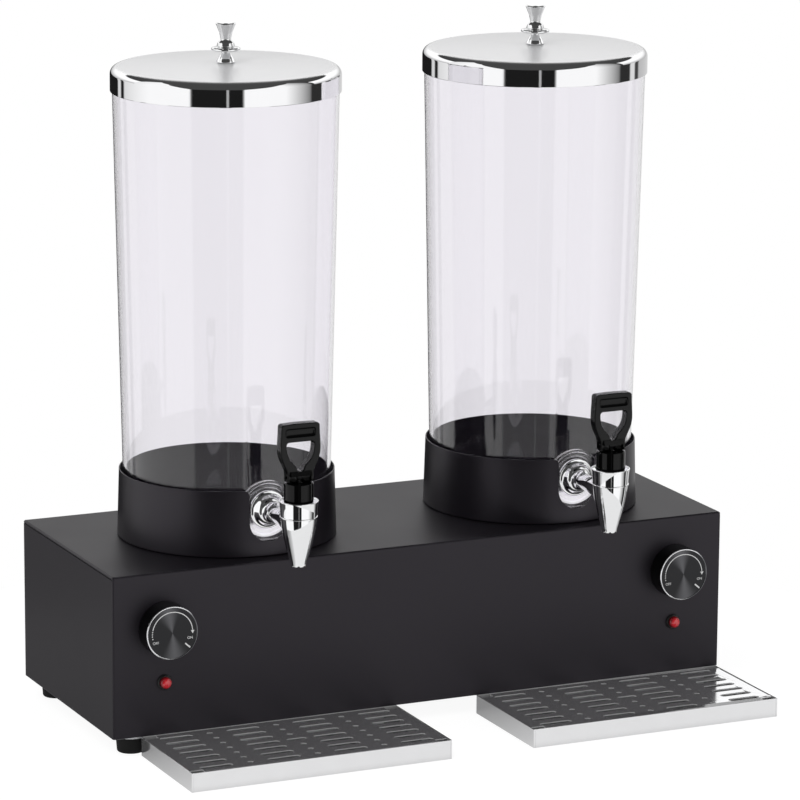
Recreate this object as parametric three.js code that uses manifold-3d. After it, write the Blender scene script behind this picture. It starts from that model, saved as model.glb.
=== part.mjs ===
// Heated beverage dispenser: two clear jars with taps on one heating base.
// Millimetres, +Z up, the front faces -Y. The origin is in the middle of the object's box,
// on the surface that the object stands on.

import * as THREE from "three";
import { mergeVertices } from "three/addons/utils/BufferGeometryUtils.js";
import Module from "manifold-3d";

const wasm = await Module();
wasm.setup();

// Clearances and cutting
const fit = 0.3; // between two pieces that touch
const looseFit = 0.5; // round a plate or lid that drops into place
const overrun = 3; // how far a cutting tool runs past a face

// Facets round a full circle
const sides = { large: 32, medium: 20, small: 14, tiny: 10 };

// Housing
const base = { width: 560, depth: 210, height: 137, sheet: 1.2, foldRadius: 1.8 };
const pan = { sheet: 1.2, flange: 14 };
const foot = {
  height: 16,
  topRadius: 12.5,
  bottomRadius: 11.5,
  edge: 1.5,
  insetX: 22,
  insetY: 17.5,
  recessDepth: 7,
};
const footScrew = {
  headRadius: 4.5,
  headHeight: 3,
  radius: 2.4,
  length: 18,
  socketRadius: 1.7,
  socketDepth: 1.6,
};
const inlet = {
  panGap: 4.8, // between the base pan's flange and the inlet's body
  flangeWidth: 50,
  flangeHeight: 30,
  flange: 2.5,
  corner: 3,
  bodyWidth: 30,
  bodyHeight: 24,
  bodyDepth: 24,
  mouthWidth: 24,
  mouthHeight: 16,
  mouthDepth: 17,
  pinWidth: 2,
  pinHeight: 4,
  pinDepth: 12,
  pinSpacing: 7,
};
const terminal = {
  width: 64,
  depth: 22,
  height: 16,
  rearGap: 55,
  screwRadius: 3,
  screwDepth: 5,
  screwSpacing: 14,
  screwCount: 4,
};

// Where the two stations stand along the housing
const layout = {
  jarSpacingShare: 71 / 140, // between the two jar axes, of the housing's width
  jarShift: 6, // how far the pair of jars stands right of the middle
  controlInset: 45, // from an end of the housing to its dial
  leftTrayInset: 24.2, // from the housing's left end to the left tray
  rightTrayInset: 2.2,
  trayGap: 74.4, // between the two trays
};

// Heating
const plate = {
  inset: 3.3, // from the edge of the flat of the jar's underside
  rise: 3,
  edge: 1,
  flangeReach: 8,
  flange: 3,
  studRadius: 3,
  studLength: 20,
};
const element = { radius: 52, tubeRadius: 3.3, sweepShare: 0.88, legLength: 18, steps: 32, sides: 6 };
const clamp = { length: 124, width: 22, thickness: 3, hubRadius: 7, hubLength: 6 };

// Controls
const dial = {
  height: 106.3,
  radius: 22.5,
  reach: 18.7,
  panelGap: 1,
  edge: 1.1,
  shaftSocket: 12,
  bushPocketRadius: 7.5,
  bushPocketDepth: 7,
};
const thermostat = { width: 32, height: 34, depth: 28, bushRadius: 4.8, bushReach: 6, shaftDepth: 20 };
const shaft = { radius: 3 };
const lamp = {
  height: 60.3,
  bezelRadius: 6.6,
  bezel: 1.6,
  barrelRadius: 4.9,
  barrelLength: 22,
  socketRadius: 3.3,
  socketDepth: 9,
  lensRadius: 5,
  lensRim: 1.2,
  lensReach: 4.4,
  domeShares: [0.9, 0.7, 0.35], // radii up the dome, of the lens radius
  bladeWidth: 4.6,
  bladeThickness: 1,
  bladeLength: 7,
};

// Collar round each jar
const collar = {
  gap: 6, // round the jar's foot
  padGap: 0.7, // round the tap pad's edge, at the collar's rim
  height: 56.2,
  sheet: 1,
  flangeWidth: 9,
  notchGap: 0.8, // beside the tap's flange
  notchFloor: 12.7,
  notchCorner: 4.5,
};

// Jar
const jar = {
  bottomRadius: 86.3,
  taper: 8, // how much wider it is at the rim
  height: 387.6,
  wall: 3,
  floor: 4,
  floorRadius: 8,
  padRim: 8, // how far the tap pad shows round the tap's flange
  padInset: 0.7, // how far the pad's face lies inside the jar's foot
  padThickness: 4,
};

// Lid and its knob
const lid = {
  sheet: 0.9,
  skirtDrop: 15.5, // how far the skirt reaches below the jar's rim
  skirtRise: 13.8, // straight part of the skirt
  shoulderRadius: 6.5,
  shoulderShares: [0, 1 / 3, 2 / 3, 1], // of a quarter turn
  crown: 2.4, // how much the dome rises from the shoulder to the middle
  bendShare: 0.5, // where the dome bends, of its radius
  ledge: 5,
};
const lidKnob = {
  height: 33.4,
  footRadius: 7.9,
  waistRadius: 3.6,
  discRadius: 11.8,
  discThickness: 1.8,
  bulgeRadius: 7.5,
  neckRadius: 4.3,
  crownRadius: 8.3,
  studRadius: 2.4,
  studLength: 7,
  // Each height of the outline, of the knob's height
  heightShares: {
    base: 0.05,
    waist: 0.24,
    disc: 0.31,
    step: 0.03,
    bulge: 0.48,
    neck: 0.57,
    throat: 0.72,
    crown: 0.97,
    brim: 0.99,
  },
  // Where the outline draws in, of the radius below it
  radiusShares: { base: 0.92, bulge: 0.8, throat: 1.2, crown: 0.8 },
};
const lidNut = { acrossFlats: 9, thickness: 4 };

// Tap
const tap = {
  height: 39.3, // its axis above the top of the housing
  standOff: 66.4, // from the tap pad's face to the nozzle's axis
  gasketRadius: 12,
  gasket: 1.2,
  flangeRadius: 16,
  flangeRim: 2,
  domeRadius: 9.5,
  domeReach: 8,
  domeShoulderShare: 0.7, // where the dome turns towards its neck, of its reach
  neckRadius: 8,
  shankRadius: 7.5,
  boreRadius: 4.2,
};
const tapNut = { acrossFlats: 24, thickness: 8, threadBeyond: 4 };
const nozzle = {
  top: 22.4,
  rimRadius: 16.35,
  rim: 1.5,
  cupRadius: 15.2,
  ridgeRadius: 15.9,
  ridge: 1.6,
  ridgeHeight: 8.7,
  tipRadius: 6.35,
  tip: 32.7, // how far the tip lies below the tap's axis
  bellyRadiusShare: 0.72, // where the cone swells, of the cup's radius
  bellyDropShare: 0.42, // and of the tip's distance below the axis
  spoutRadius: 4.6,
  chamberRadius: 9.5,
  seat: 6, // how far the valve seat lies below the tap's axis
};
const bonnet = { radius: 12.15, top: 37.3, sunk: 9, chamberRadius: 8.4, roof: 6 };
const seatCup = { radius: 7.5, height: 12, tipRadius: 5.6, taper: 3, socketDepth: 7 };
const stem = { radius: 2.5, eyeRadius: 3.6 };
const handlePin = { radius: 1.5, length: 18 };
const handle = {
  height: 50.2,
  topWidth: 37,
  neckWidth: 24,
  footWidth: 20,
  thickness: 10.5,
  edge: 1.2,
  crownRise: 1.6,
  topCorner: 4,
  crossbar: 15.4,
  windowWidth: 22,
  windowFloor: 11.6,
  windowCorner: 2.6,
  windowFoot: 4.4,
  grooveWidth: 25,
  grooveHeight: 6,
  grooveDepth: 1.6,
  grooveCornerShare: 1 / 3, // of the groove's height
  // Heights of the outline, of the handle's height, and how far the neck swells, of the top's width
  outlineShares: { foot: 0.1, ankle: 0.2, neck: 0.28, swell: 0.42, shoulder: 0.6, swellWidth: 0.82 },
  camShares: [1, 0.75, 0.5, 0.25, 0], // angles along the cam, of the angle that it opens
  pivotHeight: 5, // of the pin above the bonnet
  liftPerTurn: 18, // how far the cam would lift the stem in a full turn
  openAngle: Math.PI / 3,
};

// Drip tray
const tray = {
  width: (base.width - layout.leftTrayInset - layout.rightTrayInset - layout.trayGap) / 2,
  depth: 109.8,
  height: 16.3,
  sheet: 1,
};
const grate = {
  sheet: 1,
  sideGap: 1.5,
  drop: 0.4, // how far its top lies below the pan's rim
  cornerNotch: 10,
  slotLength: 28.8,
  slotWidth: 6.5,
  columns: 4,
  rows: 7,
  columnMargin: 10.3, // from the cover's edge to the outer slots' ends
  rowMargin: 7.15, // and to the front and rear slots
  holeSize: 5,
  fingerSlotShare: 0.575, // of the gap between two columns
};

// Levels and places that follow from the sizes above
const deck = foot.height + base.height;
const inletHeight = foot.height + pan.sheet + pan.flange + inlet.panGap + inlet.bodyHeight / 2;
const frontReach = fit + tray.depth;
const rearReach = base.depth + fit + inlet.flange;
const frontY = (frontReach - rearReach) / 2;
const stations = [
  { side: "left", sign: -1, trayInset: layout.leftTrayInset },
  { side: "right", sign: 1, trayInset: layout.rightTrayInset },
].map(({ side, sign, trayInset }) => ({
  side,
  jarX: layout.jarShift + (sign * layout.jarSpacingShare * base.width) / 2,
  controlX: sign * (base.width / 2 - layout.controlInset),
  trayX: sign * (base.width / 2 - trayInset - tray.width / 2),
}));

// Radii round a jar's axis that follow from the jar's foot and the tap's flange
const jarTopRadius = jar.bottomRadius + jar.taper;
const plateRadius = jar.bottomRadius - jar.floorRadius - plate.inset;
const padRadius = tap.flangeRadius + jar.padRim;
const padFace = jar.bottomRadius - jar.padInset;
const tapReach = padFace + tap.standOff;
const collarFootRadius = jar.bottomRadius + collar.gap;
const collarRimRadius = Math.hypot(padRadius, padFace) + collar.padGap + collar.sheet;
const eyeWidth = 2 * stem.radius;

const quarter = Math.PI / 2;

// A geometry as a solid that can be cut and joined, and back again
function toSolid(geometry) {
  const bare = geometry.clone();
  bare.deleteAttribute("normal");
  bare.deleteAttribute("uv");
  const merged = mergeVertices(bare);
  return new wasm.Manifold(
    new wasm.Mesh({
      numProp: 3,
      vertProperties: merged.attributes.position.array,
      triVerts: new Uint32Array(merged.index.array),
    }),
  );
}

function toGeometry(solid) {
  const mesh = solid.getMesh();
  const geometry = new THREE.BufferGeometry();
  geometry.setAttribute("position", new THREE.BufferAttribute(mesh.vertProperties, 3));
  geometry.setIndex(new THREE.BufferAttribute(mesh.triVerts, 1));
  geometry.computeVertexNormals();
  return geometry;
}

function fuse(...geometries) {
  return toGeometry(geometries.map(toSolid).reduce((whole, next) => whole.add(next)));
}

function carve(geometry, ...cutters) {
  return toGeometry(cutters.map(toSolid).reduce((whole, next) => whole.subtract(next), toSolid(geometry)));
}

// A box that stands on z = 0, in the middle of x and y
function block(width, depth, height) {
  return new THREE.BoxGeometry(width, depth, height).translate(0, 0, height / 2);
}

// A profile of [radius, height] points turned round the z axis
function turned(profile, count) {
  const points = profile.map(([radius, height]) => new THREE.Vector2(radius, height));
  return new THREE.LatheGeometry(points, count).rotateX(quarter);
}

// The same, turned round an axis that points forward, so heights become reaches towards -Y
function turnedForward(profile, count) {
  return turned(profile, count).rotateX(quarter);
}

function rod(radius, length, count) {
  return turned([[0, 0], [radius, 0], [radius, length], [0, length]], count);
}

function rodForward(radius, length, count) {
  return rod(radius, length, count).rotateX(quarter);
}

function rodAcross(radius, length, count) {
  return rod(radius, length, count).translate(0, 0, -length / 2).rotateY(quarter);
}

// A hexagonal bar from z = 0, with a bore
function hexNut(acrossFlats, thickness, boreRadius) {
  const corner = acrossFlats / Math.sqrt(3);
  const blank = rod(corner, thickness, 6);
  return carve(blank, rod(boreRadius, thickness + 2 * overrun, sides.small).translate(0, 0, -overrun));
}

function roundedRectangle(width, height, corner) {
  const x = width / 2;
  const y = height / 2;
  const shape = new THREE.Shape();
  shape.absarc(x - corner, y - corner, corner, 0, quarter);
  shape.absarc(corner - x, y - corner, corner, quarter, 2 * quarter);
  shape.absarc(corner - x, corner - y, corner, 2 * quarter, 3 * quarter);
  shape.absarc(x - corner, corner - y, corner, 3 * quarter, 4 * quarter);
  return shape;
}

function extruded(shape, depth, curveSegments) {
  return new THREE.ExtrudeGeometry(shape, { depth, curveSegments, bevelEnabled: false });
}

// The same with rounded edges that stay inside the outline and the depth
function softened(shape, depth, edge, curveSegments, bevelSegments) {
  return new THREE.ExtrudeGeometry(shape, {
    depth: depth - 2 * edge,
    curveSegments,
    bevelSize: edge,
    bevelThickness: edge,
    bevelOffset: -edge,
    bevelSegments,
  }).translate(0, 0, edge);
}

// Turns an outline that was drawn from the front, and extruded, so its depth runs from y = 0 to the front
function facingFront(geometry) {
  return geometry.rotateX(quarter);
}

// Turns an outline drawn from the side, with x for y, so its depth runs along x about the middle
function facingSide(geometry, width) {
  return geometry.rotateX(quarter).rotateZ(quarter).translate(-width / 2, 0, 0);
}

// Housing shell: one folded sheet box, open underneath
function housingShell() {
  const { width, depth, height, sheet, foldRadius } = base;
  const middleY = depth / 2;
  const below = foldRadius + overrun;
  const outline = roundedRectangle(width, depth, foldRadius + fit);
  const blank = softened(outline, height + below, foldRadius, 1, 2).translate(0, middleY, -below);
  const underCut = block(width + overrun, depth + overrun, below + overrun);
  const hollow = block(width - 2 * sheet, depth - 2 * sheet, height - sheet + overrun);
  const inletCut = block(inlet.bodyWidth + 2 * fit, sheet + 2 * overrun, inlet.bodyHeight + 2 * fit);
  const cutters = [
    underCut.translate(0, middleY, -below - overrun),
    hollow.translate(0, middleY, -overrun),
    inletCut.translate(0, depth, inletHeight - foot.height - inlet.bodyHeight / 2 - fit),
  ];
  const panelCut = sheet + 2 * overrun;
  for (const { jarX, controlX } of stations) {
    const plateCut = rod(plateRadius + looseFit, panelCut, sides.large);
    const bushCut = rodForward(thermostat.bushRadius + fit, panelCut, sides.small);
    const lampCut = rodForward(lamp.barrelRadius + fit, panelCut, sides.small);
    cutters.push(
      plateCut.translate(jarX, middleY, height - sheet - overrun),
      bushCut.translate(controlX, sheet + overrun, dial.height - foot.height),
      lampCut.translate(controlX, sheet + overrun, lamp.height - foot.height),
    );
  }
  return carve(blank, ...cutters);
}

// The four corners where the feet stand, seen from the middle of the housing
const footPlaces = [
  ["front_left", -1, -1],
  ["front_right", 1, -1],
  ["rear_left", -1, 1],
  ["rear_right", 1, 1],
].map(([place, signX, signY]) => [
  place,
  signX * (base.width / 2 - foot.insetX),
  signY * (base.depth / 2 - foot.insetY),
]);

// Base pan: a shallow tray with an upturned flange that closes the housing from below
function basePan() {
  const width = base.width - 2 * (base.sheet + fit);
  const depth = base.depth - 2 * (base.sheet + fit);
  const inside = block(width - 2 * pan.sheet, depth - 2 * pan.sheet, pan.flange + overrun);
  const holes = footPlaces.map(([, x, y]) =>
    rod(footScrew.radius + fit, pan.sheet + 2 * overrun, sides.tiny).translate(x, y, -overrun),
  );
  return carve(block(width, depth, pan.sheet + pan.flange), inside.translate(0, 0, pan.sheet), ...holes);
}

function rubberFoot() {
  const top = foot.height - fit;
  const body = turned(
    [
      [0, 0],
      [foot.bottomRadius - foot.edge, 0],
      [foot.bottomRadius, foot.edge],
      [foot.topRadius, top],
      [0, top],
    ],
    sides.medium,
  );
  return carve(
    body,
    rod(footScrew.headRadius + fit, foot.recessDepth + overrun, sides.small).translate(0, 0, -overrun),
    rod(footScrew.radius + fit, foot.height + overrun, sides.tiny),
  );
}

// Foot screw: its head lies in the foot's recess, and its shank runs up through the pan
function footScrewBody() {
  const head = footScrew.headHeight;
  const blank = turned(
    [
      [0, 0],
      [footScrew.headRadius, 0],
      [footScrew.headRadius, head],
      [footScrew.radius, head],
      [footScrew.radius, head + footScrew.length],
      [0, head + footScrew.length],
    ],
    sides.tiny,
  );
  const socket = rod(footScrew.socketRadius, footScrew.socketDepth + overrun, 6).translate(0, 0, -overrun);
  return carve(blank, socket);
}

// Power inlet: a flanged body with a mouth and three blades, its flange outside the rear wall
function powerInlet() {
  const mouthFloor = inlet.flange - inlet.mouthDepth;
  const outline = roundedRectangle(inlet.flangeWidth, inlet.flangeHeight, inlet.corner);
  const flange = softened(outline, inlet.flange, fit, 1, 1);
  const body = block(inlet.bodyWidth, inlet.bodyHeight, inlet.bodyDepth + inlet.flange);
  const mouth = block(inlet.mouthWidth, inlet.mouthHeight, inlet.mouthDepth + overrun);
  const blank = fuse(flange, body.translate(0, 0, -inlet.bodyDepth));
  const hollow = carve(blank, mouth.translate(0, 0, mouthFloor));
  const blades = [-1, 0, 1].map((place) =>
    block(inlet.pinWidth, inlet.pinHeight, inlet.pinDepth + fit).translate(
      place * inlet.pinSpacing,
      0,
      mouthFloor - fit,
    ),
  );
  return fuse(hollow, ...blades).rotateX(-quarter);
}

function terminalBlock() {
  const first = (-(terminal.screwCount - 1) * terminal.screwSpacing) / 2;
  const wells = Array.from({ length: terminal.screwCount }, (_, i) =>
    rod(terminal.screwRadius, terminal.screwDepth + overrun, sides.tiny).translate(
      first + i * terminal.screwSpacing,
      0,
      terminal.height - terminal.screwDepth,
    ),
  );
  return carve(block(terminal.width, terminal.depth, terminal.height), ...wells);
}

// Heat plate: its disc stands up through the deck, and its flange is drawn up against the deck from below
const plateFlangeTop = -base.sheet - fit;
const plateUnderside = plateFlangeTop - plate.flange;

function heatPlate() {
  const flangeRadius = plateRadius + plate.flangeReach;
  return turned(
    [
      [0, plateUnderside - plate.studLength],
      [plate.studRadius, plateUnderside - plate.studLength],
      [plate.studRadius, plateUnderside],
      [flangeRadius, plateUnderside],
      [flangeRadius, plateFlangeTop],
      [plateRadius, plateFlangeTop],
      [plateRadius, plate.rise - plate.edge],
      [plateRadius - plate.edge, plate.rise],
      [0, plate.rise],
    ],
    sides.large,
  );
}

// Heating element: an open ring of tube with a leg down at each end
class ElementCurve extends THREE.Curve {
  getPoint(t, target = new THREE.Vector3()) {
    const sweep = element.sweepShare * 2 * Math.PI;
    const arc = sweep * element.radius;
    const length = arc + 2 * element.legLength;
    const along = t * length - element.legLength;
    const drop = Math.max(-along, along - arc, 0);
    const turn = quarter + (2 * Math.PI - sweep) / 2 + Math.min(Math.max(along / arc, 0), 1) * sweep;
    return target.set(element.radius * Math.cos(turn), element.radius * Math.sin(turn), -drop);
  }
}

const elementMiddle = plateUnderside - fit - element.tubeRadius;

function heatingElement() {
  const section = new THREE.Shape();
  section.absarc(0, 0, element.tubeRadius, 0, 2 * Math.PI);
  return new THREE.ExtrudeGeometry(section, {
    extrudePath: new ElementCurve(),
    steps: element.steps,
    curveSegments: element.sides / 2,
  }).translate(0, 0, elementMiddle);
}

// Element clamp: a bar across the ring, threaded on the heat plate's stud
function elementClamp() {
  const top = elementMiddle - element.tubeRadius - fit;
  const bar = block(clamp.length, clamp.width, clamp.thickness).translate(0, 0, top - clamp.thickness);
  const hubFoot = top - clamp.thickness - clamp.hubLength;
  const hub = rod(clamp.hubRadius, clamp.hubLength + clamp.thickness, sides.small).translate(0, 0, hubFoot);
  const bore = rod(plate.studRadius + fit, clamp.hubLength + clamp.thickness + 2 * overrun, sides.small);
  return carve(fuse(bar, hub), bore.translate(0, 0, hubFoot - overrun));
}

// Thermostat: its body lies behind the front wall, and its bush comes through
function thermostatBody() {
  const inside = base.sheet + fit;
  const body = block(thermostat.width, thermostat.depth, thermostat.height).translate(
    0,
    inside + thermostat.depth / 2,
    -thermostat.height / 2,
  );
  const bush = rodForward(thermostat.bushRadius, thermostat.bushReach + inside + fit, sides.small);
  const boreLength = thermostat.shaftDepth + thermostat.bushReach + overrun;
  const bore = rodForward(shaft.radius + fit, boreLength, sides.small);
  return carve(fuse(body, bush.translate(0, inside + fit, 0)), bore.translate(0, thermostat.shaftDepth, 0));
}

const shaftTip = dial.panelGap + dial.shaftSocket;

function controlShaft() {
  const rear = thermostat.shaftDepth - fit;
  return rodForward(shaft.radius, rear + shaftTip, sides.small).translate(0, rear, 0);
}

function dialKnob() {
  const pocketRoof = dial.panelGap + dial.bushPocketDepth;
  return turnedForward(
    [
      [dial.bushPocketRadius, dial.panelGap],
      [dial.radius, dial.panelGap],
      [dial.radius, dial.reach - dial.edge],
      [dial.radius - dial.edge, dial.reach],
      [0, dial.reach],
      [0, shaftTip + fit],
      [shaft.radius + fit, shaftTip + fit],
      [shaft.radius + fit, pocketRoof],
      [dial.bushPocketRadius, pocketRoof],
      [dial.bushPocketRadius, dial.panelGap],
    ],
    sides.medium,
  );
}

// Lamp body: a bezel on the front wall, a barrel through it and two blades at the rear
function lampBody() {
  const rear = -base.sheet - lamp.barrelLength;
  const barrel = turnedForward(
    [
      [0, rear],
      [lamp.barrelRadius, rear],
      [lamp.barrelRadius, fit],
      [lamp.bezelRadius, fit],
      [lamp.bezelRadius, fit + lamp.bezel / 2],
      [lamp.bezelRadius - lamp.bezel / 2, fit + lamp.bezel],
      [lamp.socketRadius, fit + lamp.bezel],
      [lamp.socketRadius, fit + lamp.bezel - lamp.socketDepth],
      [0, fit + lamp.bezel - lamp.socketDepth],
    ],
    sides.small,
  );
  const blades = [-1, 1].map((place) =>
    block(lamp.bladeThickness, lamp.bladeLength + fit, lamp.bladeWidth).translate(
      (place * lamp.barrelRadius) / 2,
      -rear + (lamp.bladeLength - fit) / 2,
      -lamp.bladeWidth / 2,
    ),
  );
  return fuse(barrel, ...blades);
}

// Lamp lens: a dome on the bezel with a stem in the lamp body's socket
function lampLens() {
  const seat = 2 * fit + lamp.bezel;
  const stemEnd = seat - lamp.socketDepth + fit;
  const domeRise = lamp.lensReach - lamp.lensRim;
  const dome = lamp.domeShares.map((share) => [
    lamp.lensRadius * share,
    seat + lamp.lensRim + domeRise * Math.sqrt(1 - share * share),
  ]);
  return turnedForward(
    [
      [0, stemEnd],
      [lamp.socketRadius - fit, stemEnd],
      [lamp.socketRadius - fit, seat],
      [lamp.lensRadius, seat],
      [lamp.lensRadius, seat + lamp.lensRim],
      ...dome,
      [0, seat + lamp.lensReach],
    ],
    sides.small,
  );
}

// The outline of the collar's notch seen from the front: a round floor and softened top corners
function notchOutline() {
  const half = tap.flangeRadius + collar.notchGap;
  const corner = collar.notchCorner;
  const rim = fit + collar.height;
  const shape = new THREE.Shape();
  shape.absarc(0, collar.notchFloor + half, half, 2 * quarter, 4 * quarter);
  shape.absarc(half + corner, rim - corner, corner, 2 * quarter, quarter, true);
  shape.lineTo(half + corner, rim + overrun);
  shape.lineTo(-half - corner, rim + overrun);
  shape.absarc(-half - corner, rim - corner, corner, quarter, 0, true);
  return shape;
}

function collarRing() {
  const floor = fit;
  const rim = fit + collar.height;
  const ring = turned(
    [
      [collarFootRadius - collar.flangeWidth, floor],
      [collarFootRadius, floor],
      [collarRimRadius, rim],
      [collarRimRadius - collar.sheet, rim],
      [collarFootRadius - collar.sheet, floor + collar.sheet],
      [collarFootRadius - collar.flangeWidth, floor + collar.sheet],
      [collarFootRadius - collar.flangeWidth, floor],
    ],
    sides.large,
  );
  const reach = collarFootRadius + overrun;
  return carve(ring, facingFront(extruded(notchOutline(), reach, 4)));
}

// The jar, from its seat on the heat plate up
const jarFoot = plate.rise + fit;
const jarRim = jarFoot + jar.height;

function cornerArc(radius, height, corner, count) {
  return Array.from({ length: count + 1 }, (_, i) => {
    const turn = (i / count - 1) * quarter;
    return [radius - corner + corner * Math.cos(turn), height + corner + corner * Math.sin(turn)];
  });
}

function jarShell() {
  const insideCorner = cornerArc(jar.bottomRadius - jar.wall, jarFoot + jar.floor, jar.floorRadius, 2);
  const shell = turned(
    [
      [0, jarFoot],
      ...cornerArc(jar.bottomRadius, jarFoot, jar.floorRadius, 2),
      [jarTopRadius, jarRim],
      [jarTopRadius - jar.wall, jarRim],
      ...insideCorner.reverse(),
      [0, jarFoot + jar.floor],
    ],
    sides.large,
  );
  const padBack = padFace - jar.padThickness;
  const pad = rodForward(padRadius, jar.padThickness, sides.medium).translate(0, -padBack, tap.height);
  const facing = rodForward(padRadius, jar.padThickness + overrun, sides.medium);
  const hole = rodForward(tap.shankRadius + fit, jar.padThickness + 2 * overrun, sides.medium);
  return carve(
    fuse(shell, pad),
    facing.translate(0, -padFace, tap.height),
    hole.translate(0, overrun - padBack, tap.height),
  );
}

// Lid: a skirt over the jar's rim, a rounded shoulder, a ledge that rests on the rim and a low dome
const lidInner = jarTopRadius + looseFit;
const lidOuter = lidInner + lid.sheet;
const lidSeat = jarRim + fit;
const lidSkirtFoot = jarRim - lid.skirtDrop;
const lidShoulder = lidSkirtFoot + lid.skirtRise;
const lidTop = lidShoulder + lid.shoulderRadius;

function lidShell() {
  const arcCentre = lidOuter - lid.shoulderRadius;
  const shoulder = lid.shoulderShares.map((share) => [
    arcCentre + lid.shoulderRadius * Math.cos(share * quarter),
    lidShoulder + lid.shoulderRadius * Math.sin(share * quarter),
  ]);
  const bend = lid.bendShare;
  const domeAt = (drop) => [arcCentre * bend, lidTop + lid.crown * (1 - bend * bend) - drop];
  const hole = lidKnob.studRadius + fit;
  return turned(
    [
      [lidInner, lidSkirtFoot],
      [lidOuter, lidSkirtFoot],
      ...shoulder,
      domeAt(0),
      [hole, lidTop + lid.crown],
      [hole, lidTop + lid.crown - lid.sheet],
      domeAt(lid.sheet),
      [lidInner - lid.ledge, lidTop - lid.sheet],
      [lidInner - lid.ledge, lidSeat],
      [lidInner, lidSeat],
      [lidInner, lidSkirtFoot],
    ],
    sides.large,
  );
}

// Lid knob: a turned finial with its stud through the lid
function lidKnobBody() {
  const { height, footRadius, waistRadius, discRadius, bulgeRadius, neckRadius, crownRadius } = lidKnob;
  const up = lidKnob.heightShares;
  const drawn = lidKnob.radiusShares;
  const discTop = up.disc * height + lidKnob.discThickness;
  return turned(
    [
      [0, -lidKnob.studLength],
      [lidKnob.studRadius, -lidKnob.studLength],
      [lidKnob.studRadius, 0],
      [footRadius, 0],
      [footRadius * drawn.base, height * up.base],
      [waistRadius, height * up.waist],
      [discRadius, height * up.disc],
      [discRadius, discTop],
      [bulgeRadius, discTop + height * up.step],
      [bulgeRadius * drawn.bulge, height * up.bulge],
      [neckRadius, height * up.neck],
      [neckRadius * drawn.throat, height * up.throat],
      [crownRadius, height * up.crown],
      [crownRadius * drawn.crown, height * up.brim],
      [0, height],
    ],
    sides.small,
  );
}

// Tap, seen from the jar's axis at the height of the tap
const flangeBack = padFace + fit + tap.gasket + fit;

function tapGasket() {
  const inner = tap.shankRadius + fit;
  const back = padFace + fit;
  return turnedForward(
    [
      [inner, back],
      [tap.gasketRadius, back],
      [tap.gasketRadius, back + tap.gasket],
      [inner, back + tap.gasket],
      [inner, back],
    ],
    sides.medium,
  );
}

function tapNutBody() {
  const front = padFace - jar.padThickness - fit;
  return hexNut(tapNut.acrossFlats, tapNut.thickness, tap.shankRadius + fit)
    .rotateX(quarter)
    .translate(0, tapNut.thickness - front, 0);
}

// The nozzle's outside, round its own upright axis
function nozzleOutside() {
  const ridgeFoot = nozzle.ridgeHeight - nozzle.ridge / 2;
  return turned(
    [
      [0, -nozzle.tip],
      [nozzle.tipRadius, -nozzle.tip],
      [nozzle.cupRadius * nozzle.bellyRadiusShare, -nozzle.tip * nozzle.bellyDropShare],
      [nozzle.cupRadius, ridgeFoot],
      [nozzle.ridgeRadius, ridgeFoot],
      [nozzle.ridgeRadius, ridgeFoot + nozzle.ridge],
      [nozzle.cupRadius, ridgeFoot + nozzle.ridge],
      [nozzle.cupRadius, nozzle.top - 2 * nozzle.rim],
      [nozzle.rimRadius, nozzle.top - nozzle.rim],
      [nozzle.rimRadius, nozzle.top],
      [0, nozzle.top],
    ],
    sides.medium,
  );
}

// The passage down through the nozzle: bonnet socket, valve chamber, seat and spout
function nozzleInside() {
  const socketFloor = nozzle.top - bonnet.sunk - fit;
  return turned(
    [
      [0, -nozzle.tip - overrun],
      [nozzle.spoutRadius, -nozzle.tip - overrun],
      [tap.boreRadius, -nozzle.seat],
      [nozzle.chamberRadius, -nozzle.seat],
      [nozzle.chamberRadius, socketFloor],
      [bonnet.radius + fit, socketFloor],
      [bonnet.radius + fit, nozzle.top + overrun],
      [0, nozzle.top + overrun],
    ],
    sides.medium,
  );
}

function tapBody() {
  const shankEnd = padFace - jar.padThickness - fit - tapNut.thickness - tapNut.threadBeyond;
  const spine = turnedForward(
    [
      [0, shankEnd],
      [tap.shankRadius, shankEnd],
      [tap.shankRadius, flangeBack],
      [tap.flangeRadius, flangeBack],
      [tap.flangeRadius, flangeBack + tap.flangeRim],
      [(tap.flangeRadius + tap.domeRadius) / 2, flangeBack + tap.domeReach * tap.domeShoulderShare],
      [tap.domeRadius, flangeBack + tap.domeReach],
      [tap.neckRadius, flangeBack + tap.domeReach],
      [tap.neckRadius, tapReach],
      [0, tapReach],
    ],
    sides.medium,
  );
  const bore = rodForward(tap.boreRadius, tapReach - shankEnd + overrun, sides.small);
  return carve(
    fuse(spine, nozzleOutside().translate(0, -tapReach, 0)),
    bore.translate(0, overrun - shankEnd, 0),
    nozzleInside().translate(0, -tapReach, 0),
  );
}

// Bonnet: a cap sunk into the nozzle's socket, with the stem through its roof
function bonnetCap() {
  const floor = nozzle.top - bonnet.sunk;
  const hole = stem.radius + fit;
  return turned(
    [
      [bonnet.chamberRadius, floor],
      [bonnet.radius, floor],
      [bonnet.radius, bonnet.top],
      [hole, bonnet.top],
      [hole, bonnet.top - bonnet.roof],
      [bonnet.chamberRadius, bonnet.top - bonnet.roof],
      [bonnet.chamberRadius, floor],
    ],
    sides.medium,
  );
}

// Seat cup: a silicone plug that closes the seat, with a socket for the stem
const cupFoot = fit - nozzle.seat;
const cupTop = cupFoot + seatCup.height;

function seatCupBody() {
  const socket = stem.radius + fit;
  return turned(
    [
      [0, cupFoot],
      [seatCup.tipRadius, cupFoot],
      [seatCup.radius, cupFoot + seatCup.taper],
      [seatCup.radius, cupTop],
      [socket, cupTop],
      [socket, cupTop - seatCup.socketDepth],
      [0, cupTop - seatCup.socketDepth],
    ],
    sides.small,
  );
}

const pivot = bonnet.top + handle.pivotHeight;

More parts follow.
